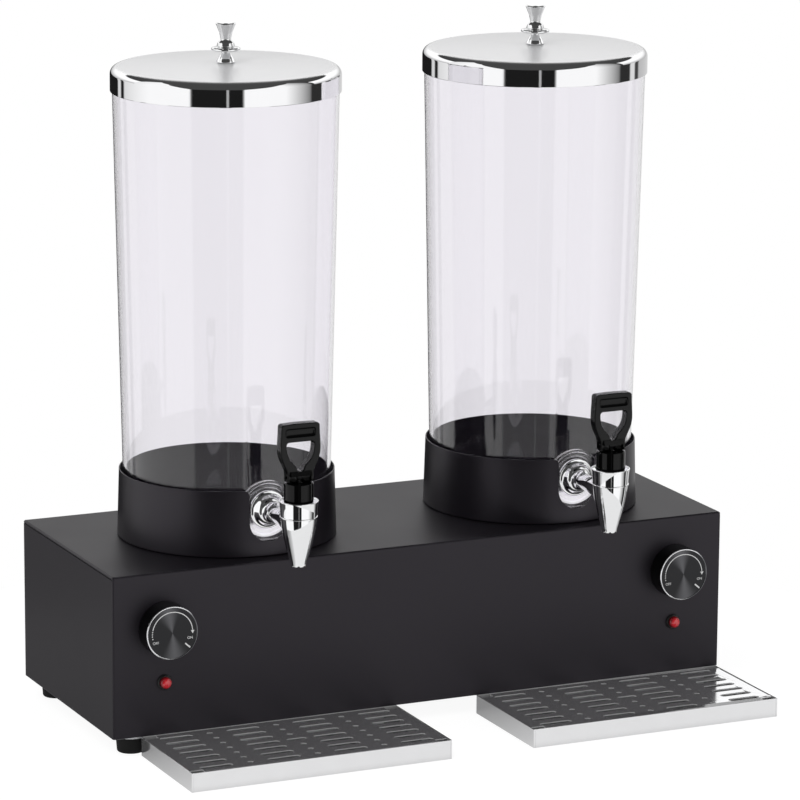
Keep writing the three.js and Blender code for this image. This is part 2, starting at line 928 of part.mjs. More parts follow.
function stemRod() {
  const stemFoot = cupTop - seatCup.socketDepth + fit;
  const shank = rod(stem.radius, pivot - stemFoot, sides.small).translate(0, 0, stemFoot);
  const eye = rodAcross(stem.eyeRadius, eyeWidth, sides.small).translate(0, 0, pivot);
  const hole = rodAcross(handlePin.radius + fit, eyeWidth + 2 * overrun, sides.tiny);
  return carve(fuse(shank, eye), hole.translate(0, 0, pivot));
}

// The handle seen from the front: a foot, a neck that widens to the grip, and a crowned top
function handleOutline() {
  const ankle = handle.footWidth / 2;
  const neck = handle.neckWidth / 2;
  const top = handle.topWidth / 2;
  const corner = handle.topCorner;
  const { height, crownRise, outlineShares: part } = handle;
  const foot = height * part.foot;
  const ankleHeight = height * part.ankle;
  const neckHeight = height * part.neck;
  const swell = [top * part.swellWidth, height * part.swell];
  const shoulder = height * part.shoulder;
  const rim = height - crownRise;
  const shape = new THREE.Shape();
  shape.moveTo(-ankle, foot);
  shape.lineTo(ankle, foot);
  shape.quadraticCurveTo(ankle, ankleHeight, neck, neckHeight);
  shape.bezierCurveTo(swell[0], swell[1], top, shoulder, top, rim - corner);
  shape.quadraticCurveTo(top, rim, top - corner, rim);
  shape.quadraticCurveTo(0, height, corner - top, rim);
  shape.quadraticCurveTo(-top, rim, -top, rim - corner);
  shape.bezierCurveTo(-top, shoulder, -swell[0], swell[1], -neck, neckHeight);
  shape.quadraticCurveTo(-ankle, ankleHeight, -ankle, foot);
  return shape;
}

// The finger window: flat at the top, drawn in to a round foot
function handleWindow() {
  const half = handle.windowWidth / 2;
  const roof = handle.height - handle.crossbar;
  const corner = handle.windowCorner;
  const footRadius = handle.windowFoot;
  const footCentre = handle.windowFloor + footRadius;
  const path = new THREE.Path();
  path.moveTo(half, roof - corner);
  path.quadraticCurveTo(half, roof, half - corner, roof);
  path.lineTo(corner - half, roof);
  path.quadraticCurveTo(-half, roof, -half, roof - corner);
  path.quadraticCurveTo(-half, footCentre + footRadius, -footRadius, footCentre);
  path.absarc(0, footCentre, footRadius, 2 * quarter, 4 * quarter);
  path.quadraticCurveTo(half, footCentre + footRadius, half, roof - corner);
  return path;
}

// The cam under the handle, seen from the side, round the pin. A flat follower is lifted in
// proportion to the angle, so each point is the envelope of the bonnet's face at one angle.
function camOutline() {
  const lift = handle.liftPerTurn / (2 * Math.PI);
  const reachAt = (angle) => handle.pivotHeight - fit + lift * angle;
  const envelope = (angle) => [
    -reachAt(angle) * Math.sin(angle) - lift * Math.cos(angle),
    -reachAt(angle) * Math.cos(angle) + lift * Math.sin(angle),
  ];
  const half = handle.thickness / 2;
  const shape = new THREE.Shape();
  shape.moveTo(half, 0);
  shape.lineTo(half, handle.pivotHeight);
  shape.lineTo(-half, handle.pivotHeight);
  handle.camShares.forEach((share) => shape.lineTo(...envelope(share * handle.openAngle)));
  shape.lineTo(lift, -reachAt(0));
  return shape;
}

function tapHandle() {
  const { thickness, footWidth } = handle;
  const outline = handleOutline();
  outline.holes.push(handleWindow());
  const grip = facingFront(softened(outline, thickness, handle.edge, 4, 1)).translate(0, thickness / 2, fit);
  const cam = facingSide(extruded(camOutline(), footWidth, 1), footWidth).translate(0, 0, handle.pivotHeight);
  const forkRoof = handle.pivotHeight + stem.eyeRadius + 2 * fit;
  const fork = block(eyeWidth + 2 * fit, 2 * footWidth, forkRoof + overrun).translate(0, 0, -overrun);
  const hole = rodAcross(handlePin.radius + fit, footWidth + 2 * overrun, sides.tiny);
  const grooveCorner = handle.grooveHeight * handle.grooveCornerShare;
  const grooveOutline = roundedRectangle(handle.grooveWidth, handle.grooveHeight, grooveCorner);
  const groove = facingFront(extruded(grooveOutline, overrun, 2));
  const grooveMiddle = handle.height - (handle.crossbar + handle.crownRise) / 2;
  return carve(
    fuse(grip, cam),
    fork,
    hole.translate(0, 0, handle.pivotHeight),
    groove.translate(0, handle.grooveDepth - thickness / 2, grooveMiddle),
  );
}

// Drip pan: a shallow open box
function dripPan() {
  const hollow = block(tray.width - 2 * tray.sheet, tray.depth - 2 * tray.sheet, tray.height);
  return carve(block(tray.width, tray.depth, tray.height), hollow.translate(0, 0, tray.sheet));
}

// A slot with round ends, or a round hole where its length is its width
function slotPath(x, y, length, width, endFacets) {
  const half = (length - width) / 2;
  const end = (side) =>
    Array.from({ length: endFacets + 1 }, (_, i) => {
      const turn = quarter * ((2 * i) / endFacets - side);
      const middle = x + side * half;
      return new THREE.Vector2(middle + (width / 2) * Math.cos(turn), y + (width / 2) * Math.sin(turn));
    });
  const points = [...end(1), ...end(-1)];
  return new THREE.Path(points.filter((point, i) => i === 0 || point.distanceTo(points[i - 1]) > fit));
}

// Places along a centred row, a pitch apart
function centred(count, pitch) {
  return Array.from({ length: count }, (_, i) => (i - (count - 1) / 2) * pitch);
}

// Slotted cover: a plate with down-turned edges between notched corners, which stand in the pan
function dripGrate() {
  const width = tray.width - 2 * (tray.sheet + grate.sideGap);
  const depth = tray.depth - 2 * (tray.sheet + grate.sideGap);
  const top = tray.height - grate.drop;
  const legs = tray.sheet + fit;
  const x = width / 2;
  const y = depth / 2;
  const { cornerNotch: notch, slotLength, slotWidth, holeSize } = grate;
  const columnPitch = (width - 2 * grate.columnMargin - slotLength) / (grate.columns - 1);
  const rowPitch = (depth - 2 * grate.rowMargin - slotWidth) / (grate.rows - 1);
  const fingerSlotLength = (columnPitch - slotLength) * grate.fingerSlotShare;
  const plan = new THREE.Shape();
  plan.moveTo(-x + notch, -y);
  plan.lineTo(x - notch, -y);
  plan.lineTo(x, -y + notch);
  plan.lineTo(x, y - notch);
  plan.lineTo(x - notch, y);
  plan.lineTo(-x + notch, y);
  plan.lineTo(-x, y - notch);
  plan.lineTo(-x, -y + notch);
  const columns = centred(grate.columns, columnPitch);
  const gaps = centred(grate.columns - 1, columnPitch);
  for (const rowY of centred(grate.rows, rowPitch)) {
    for (const columnX of columns) plan.holes.push(slotPath(columnX, rowY, slotLength, slotWidth, 2));
    for (const gapX of gaps) {
      const finger = gapX === 0 && rowY === 0;
      plan.holes.push(
        finger
          ? slotPath(gapX, rowY, fingerSlotLength, slotWidth, 2)
          : slotPath(gapX, rowY, holeSize, holeSize, 3),
      );
    }
  }
  const sheet = extruded(plan, grate.sheet, 1).translate(0, 0, top - grate.sheet);
  const legHeight = top - legs;
  const longLeg = () => block(width - 2 * notch, grate.sheet, legHeight);
  const shortLeg = () => block(grate.sheet, depth - 2 * notch, legHeight);
  return fuse(
    sheet,
    longLeg().translate(0, (grate.sheet - depth) / 2, legs),
    longLeg().translate(0, (depth - grate.sheet) / 2, legs),
    shortLeg().translate((grate.sheet - width) / 2, 0, legs),
    shortLeg().translate((width - grate.sheet) / 2, 0, legs),
  );
}

// Finishes
const finish = (color, roughness, metalness, extra = {}) =>
  new THREE.MeshStandardMaterial({ color, roughness, metalness, ...extra });
const finishes = {
  powder: finish(0x2a292c, 0.55, 0.1),
  zinc: finish(0x8f9295, 0.45, 0.9),
  rubber: finish(0x141414, 0.85, 0),
  clear: finish(0xf4f7fa, 0.08, 0, { transparent: true, opacity: 0.3 }),
  mirror: finish(0xd9dadc, 0.08, 1),
  chrome: finish(0xe4e5e8, 0.05, 1),
  plastic: finish(0x161617, 0.4, 0),
  spun: finish(0x2c2d30, 0.32, 0.9),
  red: finish(0xc21820, 0.15, 0),
  silicone: finish(0xe9e7e0, 0.7, 0),
  brass: finish(0xb59a55, 0.35, 0.9),
};

function addPiece(group, name, geometry, material, x = 0, y = 0, z = 0) {
  const mesh = new THREE.Mesh(geometry, material);
  mesh.name = name;
  mesh.position.set(x, y, z);
  group.add(mesh);
}

function addGroup(parent, x, y, z) {
  const group = new THREE.Group();
  group.position.set(x, y, z);
  parent.add(group);
  return group;
}

function addHousing(parent) {
  addPiece(parent, "housing_shell", housingShell(), finishes.powder, 0, frontY, foot.height);
  const middle = addGroup(parent, 0, frontY + base.depth / 2, 0);
  addPiece(middle, "base_pan", basePan(), finishes.zinc, 0, 0, foot.height);
  for (const [place, x, y] of footPlaces) {
    addPiece(middle, `foot_${place}`, rubberFoot(), finishes.rubber, x, y, 0);
    const headFoot = foot.recessDepth - footScrew.headHeight - fit;
    addPiece(middle, `foot_screw_${place}`, footScrewBody(), finishes.zinc, x, y, headFoot);
  }
  addPiece(parent, "power_inlet", powerInlet(), finishes.plastic, 0, frontY + base.depth + fit, inletHeight);
  const blockY = frontY + base.depth - terminal.rearGap;
  const blockZ = foot.height + pan.sheet + fit;
  addPiece(parent, "terminal_block", terminalBlock(), finishes.plastic, 0, blockY, blockZ);
}

function addHeating(station, side) {
  addPiece(station, `${side}_heat_plate`, heatPlate(), finishes.spun);
  addPiece(station, `${side}_heating_element`, heatingElement(), finishes.zinc);
  addPiece(station, `${side}_element_clamp`, elementClamp(), finishes.zinc);
  addPiece(station, `${side}_collar`, collarRing(), finishes.powder);
}

function addControls(root, side, controlX) {
  const control = addGroup(root, controlX, frontY, dial.height);
  addPiece(control, `${side}_thermostat`, thermostatBody(), finishes.plastic);
  addPiece(control, `${side}_control_shaft`, controlShaft(), finishes.brass);
  addPiece(control, `${side}_dial_knob`, dialKnob(), finishes.spun);
  addPiece(root, `${side}_lamp_body`, lampBody(), finishes.plastic, controlX, frontY, lamp.height);
  addPiece(root, `${side}_lamp_lens`, lampLens(), finishes.red, controlX, frontY, lamp.height);
}

function addTap(station, side) {
  const atTap = addGroup(station, 0, 0, tap.height);
  addPiece(atTap, `${side}_tap_gasket`, tapGasket(), finishes.silicone);
  addPiece(atTap, `${side}_tap_nut`, tapNutBody(), finishes.plastic);
  addPiece(atTap, `${side}_tap_body`, tapBody(), finishes.chrome);
  const valve = addGroup(atTap, 0, -tapReach, 0);
  addPiece(valve, `${side}_tap_bonnet`, bonnetCap(), finishes.plastic);
  addPiece(valve, `${side}_seat_cup`, seatCupBody(), finishes.silicone);
  addPiece(valve, `${side}_tap_stem`, stemRod(), finishes.brass);
  addPiece(valve, `${side}_tap_handle`, tapHandle(), finishes.plastic, 0, 0, bonnet.top);
  const pin = rodAcross(handlePin.radius, handlePin.length, sides.tiny);
  addPiece(valve, `${side}_handle_pin`, pin, finishes.zinc, 0, 0, pivot);
}

function addJar(station, side) {
  addPiece(station, `${side}_jar`, jarShell(), finishes.clear);
  addPiece(station, `${side}_lid`, lidShell(), finishes.mirror);
  const crown = lidTop + lid.crown;
  addPiece(station, `${side}_lid_knob`, lidKnobBody(), finishes.chrome, 0, 0, crown + fit);
  const nut = hexNut(lidNut.acrossFlats, lidNut.thickness, lidKnob.studRadius + fit);
  const nutZ = crown - lid.sheet - fit - lidNut.thickness;
  addPiece(station, `${side}_lid_knob_nut`, nut, finishes.zinc, 0, 0, nutZ);
}

function addTray(root, side, trayX) {
  const place = addGroup(root, trayX, frontY - fit - tray.depth / 2, 0);
  addPiece(place, `${side}_drip_pan`, dripPan(), finishes.mirror);
  addPiece(place, `${side}_drip_grate`, dripGrate(), finishes.mirror);
}

const dispenser = new THREE.Group();
addHousing(dispenser);
for (const { side, jarX, controlX, trayX } of stations) {
  const station = addGroup(dispenser, jarX, frontY + base.depth / 2, deck);
  addHeating(station, side);
  addJar(station, side);
  addTap(station, side);
  addControls(dispenser, side, controlX);
  addTray(dispenser, side, trayX);
}

export default dispenser;
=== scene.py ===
# Heated beverage dispenser with two jars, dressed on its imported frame.
# Lengths are metres in the frame's axes: +Z up, and the front faces -Y.

import math

import bpy
from bpy.props import FloatProperty, FloatVectorProperty, PointerProperty
from bpy.types import Operator, Panel, PropertyGroup
from mathutils import Matrix, Vector


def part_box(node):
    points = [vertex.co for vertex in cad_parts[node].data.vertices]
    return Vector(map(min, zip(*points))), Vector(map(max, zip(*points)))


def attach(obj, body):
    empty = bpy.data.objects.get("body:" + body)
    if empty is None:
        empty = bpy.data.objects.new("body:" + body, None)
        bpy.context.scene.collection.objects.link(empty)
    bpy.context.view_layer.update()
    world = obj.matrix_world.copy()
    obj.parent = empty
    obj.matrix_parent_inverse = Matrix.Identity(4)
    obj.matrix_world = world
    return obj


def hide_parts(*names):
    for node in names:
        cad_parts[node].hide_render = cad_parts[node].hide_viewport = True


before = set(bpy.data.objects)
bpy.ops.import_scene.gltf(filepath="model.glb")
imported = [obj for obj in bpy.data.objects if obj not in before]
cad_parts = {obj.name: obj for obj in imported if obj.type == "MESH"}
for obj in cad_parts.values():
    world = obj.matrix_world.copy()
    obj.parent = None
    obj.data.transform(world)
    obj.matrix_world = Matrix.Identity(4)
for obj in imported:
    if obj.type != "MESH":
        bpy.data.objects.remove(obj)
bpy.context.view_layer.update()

bl_info = {
    "name": "Heated beverage dispenser",
    "version": (1, 0, 0),
    "blender": (4, 5, 0),
    "location": "View3D > Sidebar > Dispenser",
    "description": "Models and finishes a beverage dispenser with two heated jars",
    "category": "Add Mesh",
}

MM = 0.001
SIDES = ("left", "right")
CORNERS = ("front_left", "front_right", "rear_left", "rear_right")
UPRIGHT = Vector((0, 0, 1))
FORWARD = Vector((0, -1, 0))
ACROSS = Vector((1, 0, 0))
# Gap round a part that fits in another
FIT = 0.3 * MM


# Sizes and colours that a user would change

def length(name, description, millimetres):
    """A size, given in millimetres and kept in metres."""
    start = millimetres * MM
    return FloatProperty(name=name, description=description, default=start, min=0, unit="LENGTH")


def share(name, description, start):
    """A number from nought to one."""
    return FloatProperty(
        name=name, description=description, default=start, min=0, max=1, subtype="FACTOR"
    )


def power(name, description, watts):
    """The power of a light."""
    return FloatProperty(name=name, description=description, default=watts, min=0, unit="POWER")


def colour(name, description, linear):
    """A linear colour."""
    return FloatVectorProperty(
        name=name, description=description, default=linear, min=0, max=1, subtype="COLOR"
    )


class HousingSizes(PropertyGroup):
    """The folded sheet housing, its feet, and the heat plates and collars on it."""

    sheet: length("Sheet", "Thickness of the housing's sheet", 1.2)
    fold_radius: length("Fold radius", "Outer radius of the housing's folds", 1.8)
    seam: length("Seam", "Width of the seam along the end panels", 0.9)
    seam_depth: length("Seam depth", "How deep that seam is", 0.8)
    hole_gap: length("Hole gap", "Clearance round a heat plate in the deck", 0.5)
    bush_hole: length("Bush hole", "Radius of the hole for a thermostat's bush", 5.1)
    lamp_hole: length("Lamp hole", "Radius of the hole for a lamp", 5.2)
    inlet_side: length("Inlet side", "Width of the inlet's flange at its sides", 10)
    inlet_edge: length("Inlet edge", "Width of that flange above and below", 3)
    foot_edge: length("Foot edge", "Rounding of a foot's lower edge", 1.5)
    washer: length("Washer", "Thickness of the plated washer above each foot", 2.2)
    washer_rim: length("Washer rim", "How much wider than its foot a washer is", 1.5)
    foot_recess: length("Foot recess", "Radius of the screw's recess under a foot", 4.8)
    foot_recess_depth: length("Recess depth", "Depth of the screw's recess under a foot", 7)
    foot_bore: length("Foot bore", "Radius of the bore through a foot", 2.7)
    foot_taper: length("Foot taper", "How much narrower a foot is at the floor", 1)
    collar_sheet: length("Collar sheet", "Thickness of a collar's wall", 1)
    collar_flange: length("Collar flange", "Width of the turned-in flange under a collar", 9)
    collar_taper: length("Collar taper", "How much narrower a collar is at its rim", 1.7)
    collar_edge: length("Collar edge", "Rounding of a collar's cut edges", 0.25)
    notch_half_width: length("Notch half width", "Half the width of a collar's notch", 16.8)
    notch_floor: length("Notch floor", "Height of the notch's floor above the deck", 12.7)
    notch_corner: length("Notch corner", "Rounding of the notch's upper corners", 4.5)
    plate_edge: length("Plate edge", "Rounding of a heat plate's edge", 1)
    plate_flange: length("Plate flange", "Thickness of a heat plate's flange", 3)
    plate_reach: length("Plate reach", "How far that flange reaches beyond the disc", 8)
    stud_radius: length("Stud radius", "Radius of the stud under a heat plate", 3)


class JarSizes(PropertyGroup):
    """The clear jars, their lids and the lids' knobs."""

    wall: length("Wall", "Thickness of a jar's wall", 3)
    floor: length("Floor", "Thickness of a jar's floor", 4)
    foot_radius: length("Foot radius", "Outer radius of a jar at its foot", 86.3)
    corner: length("Corner", "Rounding between a jar's wall and floor", 8)
    rim: length("Rim", "Rounding of a jar's rim", 1.2)
    pad_radius: length("Pad radius", "Radius of the thick pad that carries the tap", 24)
    pad_face: length("Pad face", "From a jar's axis to the pad's face", 85.6)
    pad_thickness: length("Pad thickness", "Thickness of that pad", 4)
    pad_ring: length("Pad ring", "Width of each step of the pad", 2.6)
    lid_sheet: length("Lid sheet", "Thickness of a lid's sheet", 0.9)
    lid_shoulder: length("Lid shoulder", "Radius of a lid's rounded shoulder", 6.5)
    lid_skirt: length("Lid skirt", "Height of the straight part of a lid's skirt", 13.8)
    lid_ledge: length("Lid ledge", "How far a lid's ledge reaches over the jar's rim", 5)
    knob_stud: length("Knob stud", "Radius of the stud under a lid's knob", 2.4)
    knob_stud_length: length("Knob stud length", "Length of that stud", 7)


class TapSizes(PropertyGroup):
    """The taps: body, bonnet and handle."""

    shank: length("Shank", "Radius of the threaded shank", 7.5)
    bore: length("Bore", "Radius of the passage", 4.2)
    flange_rim: length("Flange rim", "Thickness of the flange's rim", 2)
    flange_radius: length("Flange radius", "Radius of the flange", 16)
    boss_radius: length("Boss radius", "Radius of the boss on the flange", 9.5)
    boss_reach: length("Boss reach", "How far the boss stands out from the flange's back", 8)
    neck_radius: length("Neck radius", "Radius of the neck to the nozzle", 8)
    rim_radius: length("Rim radius", "Radius of the nozzle's rim", 16.35)
    cup_radius: length("Cup radius", "Radius of the nozzle's upper part", 15.0)
    ridge_radius: length("Ridge radius", "Radius of the raised ring round the nozzle", 15.5)
    ridge: length("Ridge", "Height of that ring", 1.3)
    ridge_height: length("Ridge height", "Height of the ring above the tap's axis", 8.7)
    tip_radius: length("Tip radius", "Radius of the nozzle's tip", 6.35)
    tip_drop: length("Tip drop", "Height of the tap's axis above the nozzle's tip", 32.7)
    rim_height: length("Rim height", "Height of the nozzle's rim above the tap's axis", 22.4)
    seat_drop: length("Seat drop", "Height of the tap's axis above the valve's seat", 6)
    seat_radius: length("Seat radius", "Radius of the chamber above that seat", 9.5)
    socket_floor: length("Socket floor", "Height of the bonnet's foot above the tap's axis", 13.1)
    spout: length("Spout", "Radius of the nozzle's mouth", 4.6)
    scallop: length("Scallop", "Radius of the small cuts round the nozzle's tip", 1.1)
    bonnet_radius: length("Bonnet radius", "Radius of the black bonnet", 12.15)
    chamber: length("Chamber", "Inner radius of the bonnet", 8.4)
    bonnet_roof: length("Bonnet roof", "Thickness of the bonnet's roof", 6)
    stem: length("Stem", "Radius of the valve's stem", 2.5)
    handle_edge: length("Handle edge", "Rounding of the handle's edges", 1.2)
    handle_top: length("Handle top", "Width of the handle at its upper corners", 33.8)
    handle_width: length("Handle width", "Greatest width of the handle", 35.4)
    handle_thickness: length("Handle thickness", "Thickness of the handle above its cam", 8.8)
    handle_foot: length("Handle foot", "Width of the handle's foot", 22.6)
    crossbar: length("Crossbar", "Height of the bar above the finger window", 15.4)
    window_width: length("Window width", "Width of the finger window", 24.4)
    window_floor: length("Window floor", "Height of the window's foot above the handle's", 9.6)
    window_foot: length("Window foot", "Radius of the window's round foot", 3.6)
    crown_rise: length("Crown rise", "How much the handle's top is arched", 0.7)
    cam_width: length("Cam width", "Width of the cam under the handle", 18.4)
    trough_length: length("Trough length", "Length of the hollow along the handle's bar", 27)
    trough_radius: length("Trough radius", "Radius of that hollow's round floor", 4.6)
    trough_depth: length("Trough depth", "Depth of that hollow", 2.2)
    slot_width: length("Slot width", "Width of the slot in the handle's foot", 19)
    slot_height: length("Slot height", "Height of that slot", 3.4)
    slot_rise: length("Slot rise", "Height of that slot's middle above the foot", 4.2)
    slot_depth: length("Slot depth", "Depth of that slot", 2.2)
    pivot: length("Pivot", "Height of the handle's pin above the bonnet", 5)
    pin_hole: length("Pin hole", "Radius of the hole for the handle's pin", 1.8)
    fork_front: length("Fork front", "Height of the stem's slot at the front of the cam", 5.9)
    fork_back: length("Fork back", "Height of that slot from its step to the back", 9.2)
    fork_step: length("Fork step", "How far in front of the pin that step is", 3.9)
    cam_thickness: length("Cam thickness", "Thickness of the cam from front to back", 10.5)
    cam_lead: length("Cam lead", "How far the cam would lift the stem in a full turn", 18)


class ControlSizes(PropertyGroup):
    """The dials and lamps on the front."""

    rim_width: length("Rim width", "Width of the dial's bright rim", 0.9)
    face_depth: length("Face depth", "How far the dial's face lies behind its rim", 0.4)
    bush_pocket: length("Bush pocket", "Radius of the pocket behind the dial", 7.5)
    bush_pocket_depth: length("Pocket depth", "Depth of that pocket", 7)
    shaft: length("Shaft", "Radius of the dial's bore", 3.3)
    shaft_depth: length("Shaft depth", "Depth of the dial's bore", 12.3)
    ink: length("Ink", "Thickness of the printed marks", 0.05)
    scale_radius: length("Scale radius", "Radius of the printed scale", 17.6)
    scale_width: length("Scale width", "Width of the printed scale's line", 0.7)
    text_height: length("Text height", "Size of the printed words", 3.1)
    word_radius: length("Word radius", "From the dial's middle to its words", 16.2)
    lens: length("Lens", "Radius of a lamp's lens", 5)
    lens_edge: length("Lens edge", "Height of the straight edge under the lens's dome", 1.2)
    socket: length("Socket", "Radius of the lens's socket", 3.3)
    socket_depth: length("Socket depth", "Depth of that socket", 9)


class TraySizes(PropertyGroup):
    """The drip trays and their slotted covers."""

    sheet: length("Sheet", "Thickness of the trays' sheet", 1)
    pan_edge: length("Pan edge", "Rounding of a pan's edges", 0.5)
    cover_edge: length("Cover edge", "Rounding of a cover's bends", 0.8)
    slot_edge: length("Slot edge", "Rounding of the slots' edges", 0.2)
    corner_notch: length("Corner notch", "Length of the cut at each corner of a cover", 11)
    notch_cut: length("Notch cut", "Depth of that cut", 7)
    cover_gap: length("Cover gap", "Gap between a cover and its pan's walls", 0.4)
    pan_seam: length("Pan seam", "Width of the seams at a pan's corners", 0.35)
    slot_length: length("Slot length", "Length of a slot", 28.8)
    slot_width: length("Slot width", "Width of a slot", 6.5)
    hole: length("Hole", "Diameter of the round holes between the slots", 5)
    column_margin: length("Column margin", "From a cover's side to the outer slots", 10.3)
    row_margin: length("Row margin", "From a cover's front to the first slots", 7.15)


class FinishColours(PropertyGroup):
    """Linear colours of the finishes."""

    powder: colour("Powder coat", "Black powder coat", (0.0082, 0.0070, 0.0094))
    plastic: colour("Plastic", "Black moulded plastic", (0.006, 0.006, 0.0062))
    rubber: colour("Rubber", "Rubber of the feet", (0.010, 0.010, 0.010))
    steel: colour("Steel", "Polished stainless steel", (0.86, 0.86, 0.87))
    chrome: colour("Chrome", "Bright chrome plate", (0.88, 0.885, 0.89))
    zinc: colour("Zinc", "Zinc plate", (0.50, 0.51, 0.52))
    brass: colour("Brass", "Turned brass", (0.62, 0.45, 0.14))
    aluminium: colour("Dark aluminium", "Coated heat plates", (0.05, 0.05, 0.052))
    spun: colour("Spun black", "Black anodised aluminium", (0.035, 0.035, 0.037))
    ink: colour("Ink", "White print", (0.78, 0.78, 0.78))
    lamp: colour("Lamp", "Red lens", (0.58, 0.018, 0.028))
    jar: colour("Jar", "Tint of the clear jars", (0.915, 0.903, 0.930))
    silicone: colour("Silicone", "White silicone", (0.78, 0.77, 0.72))


class StudioSettings(PropertyGroup):
    """Floor, lights and background."""

    floor_radius: length("Floor radius", "Radius of the pale table", 520)
    table_white: FloatProperty(
        name="Table white", description="Brightness of the table's white", default=1.12, min=0
    )
    floor_glow: share("Floor glow", "How much of the table is plain white in view", 0.82)
    key_power: power("Key power", "Power of the key light", 14)
    fill_power: power("Fill power", "Power of the fill light", 5)
    sky: share("Sky", "Strength of the soft light from all round", 0.62)


SIZE_GROUPS = {
    "dispenser_housing": HousingSizes,
    "dispenser_jar": JarSizes,
    "dispenser_tap": TapSizes,
    "dispenser_controls": ControlSizes,
    "dispenser_tray": TraySizes,
    "dispenser_colours": FinishColours,
    "dispenser_studio": StudioSettings,
}


# Places in the frame

def middle(node):
    """The middle of a frame node's box."""
    low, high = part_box(node)
    return (low + high) / 2


def extent(node):
    """The lengths of a frame node's box."""
    low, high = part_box(node)
    return high - low


def foot_of(node):
    """The middle of the underside of a frame node's box."""
    place = middle(node)
    place.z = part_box(node)[0].z
    return place


def to_the_right(node):
    """From a node of the left station to its like on the right."""
    return middle("right_" + node) - middle("left_" + node)


# Height of the housing's deck, and y of its front panel
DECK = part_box("housing_shell")[1].z
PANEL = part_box("housing_shell")[0].y


# Modelling with Blender's own operators

def rest():
    """Object mode, with nothing selected."""
    if bpy.context.mode != "OBJECT":
        bpy.ops.object.mode_set(mode="OBJECT")
    bpy.ops.object.select_all(action="DESELECT")


def only(piece):
    """The one piece selected and active."""
    rest()
    piece.select_set(True)
    bpy.context.view_layer.objects.active = piece


def settle(piece):
    """Puts a piece's place, turn and size into its mesh."""
    only(piece)
    bpy.ops.object.transform_apply(location=True, rotation=True, scale=True)
    return piece


def named(piece, name):
    """A piece and its mesh under a new name."""
    piece.name = name
    piece.data.name = name
    return piece


def block(name, low, high):
    """A box between two corners."""
    rest()
    low, high = Vector(low), Vector(high)
    bpy.ops.mesh.primitive_cube_add(size=1, location=(low + high) / 2, scale=high - low)
    return settle(named(bpy.context.object, name))


def rod(name, start, end, radius, sides=64):
    """A round bar between two points."""
    rest()
    start, end = Vector(start), Vector(end)
    bpy.ops.mesh.primitive_cylinder_add(
        vertices=sides,
        radius=radius,
        depth=(end - start).length,
        location=(start + end) / 2,
        rotation=(end - start).to_track_quat("Z", "Y").to_euler(),
    )
    return settle(named(bpy.context.object, name))


def rounded(corners, steps=4, loop=False):
    """The points of an outline through (x, y) or (x, y, radius) corners, rounded by that radius."""
    points = []
    for i, corner in enumerate(corners):
        here = Vector(corner[:2])
        radius = corner[2] if len(corner) > 2 else 0
        if not radius or (not loop and i in (0, len(corners) - 1)):
            points.append(here)
            continue
        before = (Vector(corners[i - 1][:2]) - here).normalized()
        after = (Vector(corners[(i + 1) % len(corners)][:2]) - here).normalized()
        half = before.angle(after) / 2
        centre = here + (before + after).normalized() * radius / math.sin(half)
        start = here + before * radius / math.tan(half) - centre
        sweep = math.pi - 2 * half
        if before.x * after.y - before.y * after.x > 0:
            sweep = -sweep
        for step in range(steps + 1):
            points.append(centre + Matrix.Rotation(sweep * step / steps, 2) @ start)
    return points


def arc(centre, radius, start, end, steps):
    """Points on an arc, with its angles in degrees."""
    centre = Vector((centre[0], centre[1]))
    turns = [start + (end - start) * step / steps for step in range(steps + 1)]
    return [centre + swung(radius, turn) for turn in turns]


def swung(radius, degrees):
    """A point at a radius from the origin, turned from the right towards the top."""
    turn = math.radians(degrees)
    return Vector((radius * math.cos(turn), radius * math.sin(turn)))


def curve(start, control_a, control_b, end, steps=8):
    """Points on a cubic curve after its start."""
    points = []
    for step in range(1, steps + 1):
        t = step / steps
        s = 1 - t
        points.append(
            s * s * s * Vector(start)
            + 3 * s * s * t * Vector(control_a)
            + 3 * s * t * t * Vector(control_b)
            + t * t * t * Vector(end)
        )
    return points


def drawn(name, points):
    """A line of edges, left in edit mode: one vertex extruded from point to point."""
    rest()
    bpy.ops.mesh.primitive_plane_add(size=MM)
    piece = named(bpy.context.object, name)
    bpy.ops.object.mode_set(mode="EDIT")
    bpy.ops.mesh.select_mode(type="VERT")
    bpy.ops.mesh.select_all(action="SELECT")
    bpy.ops.mesh.merge(type="CENTER")
    bpy.ops.transform.translate(value=points[0])
    for start, end in zip(points, points[1:]):
        bpy.ops.mesh.extrude_region_move(TRANSFORM_OT_translate={"value": end - start})
    return piece


def tidy_mesh():
    """Merges doubles and turns all faces outwards, in edit mode, then leaves it."""
    bpy.ops.mesh.select_all(action="SELECT")
    bpy.ops.mesh.remove_doubles(threshold=MM / 200)
    bpy.ops.mesh.normals_make_consistent(inside=False)
    bpy.ops.object.mode_set(mode="OBJECT")


def spun(name, profile, centre, axis=UPRIGHT, steps=96):
    """A profile of (radius, distance along the axis) points turned round an axis through centre."""
    centre = Vector(centre)
    piece = drawn(name, [centre + ACROSS * point[0] + axis * point[1] for point in profile])
    bpy.ops.mesh.select_all(action="SELECT")
    bpy.ops.mesh.spin(steps=steps, angle=2 * math.pi, center=centre, axis=axis)
    tidy_mesh()
    return piece


def closed(profile):
    """A profile that ends where it starts."""
    return profile + profile[:1]


def cut_out(name, outline, centre, along, up, depth):
    """An outline of (across, up) points filled and extruded by depth along a direction."""
    side = up.cross(along).normalized()
    centre = Vector(centre)
    piece = drawn(name, [centre + side * point[0] + up * point[1] for point in outline])
    bpy.ops.mesh.select_all(action="SELECT")
    bpy.ops.mesh.edge_face_add()
    bpy.ops.mesh.extrude_region_move(TRANSFORM_OT_translate={"value": along * depth})
    tidy_mesh()
    return piece


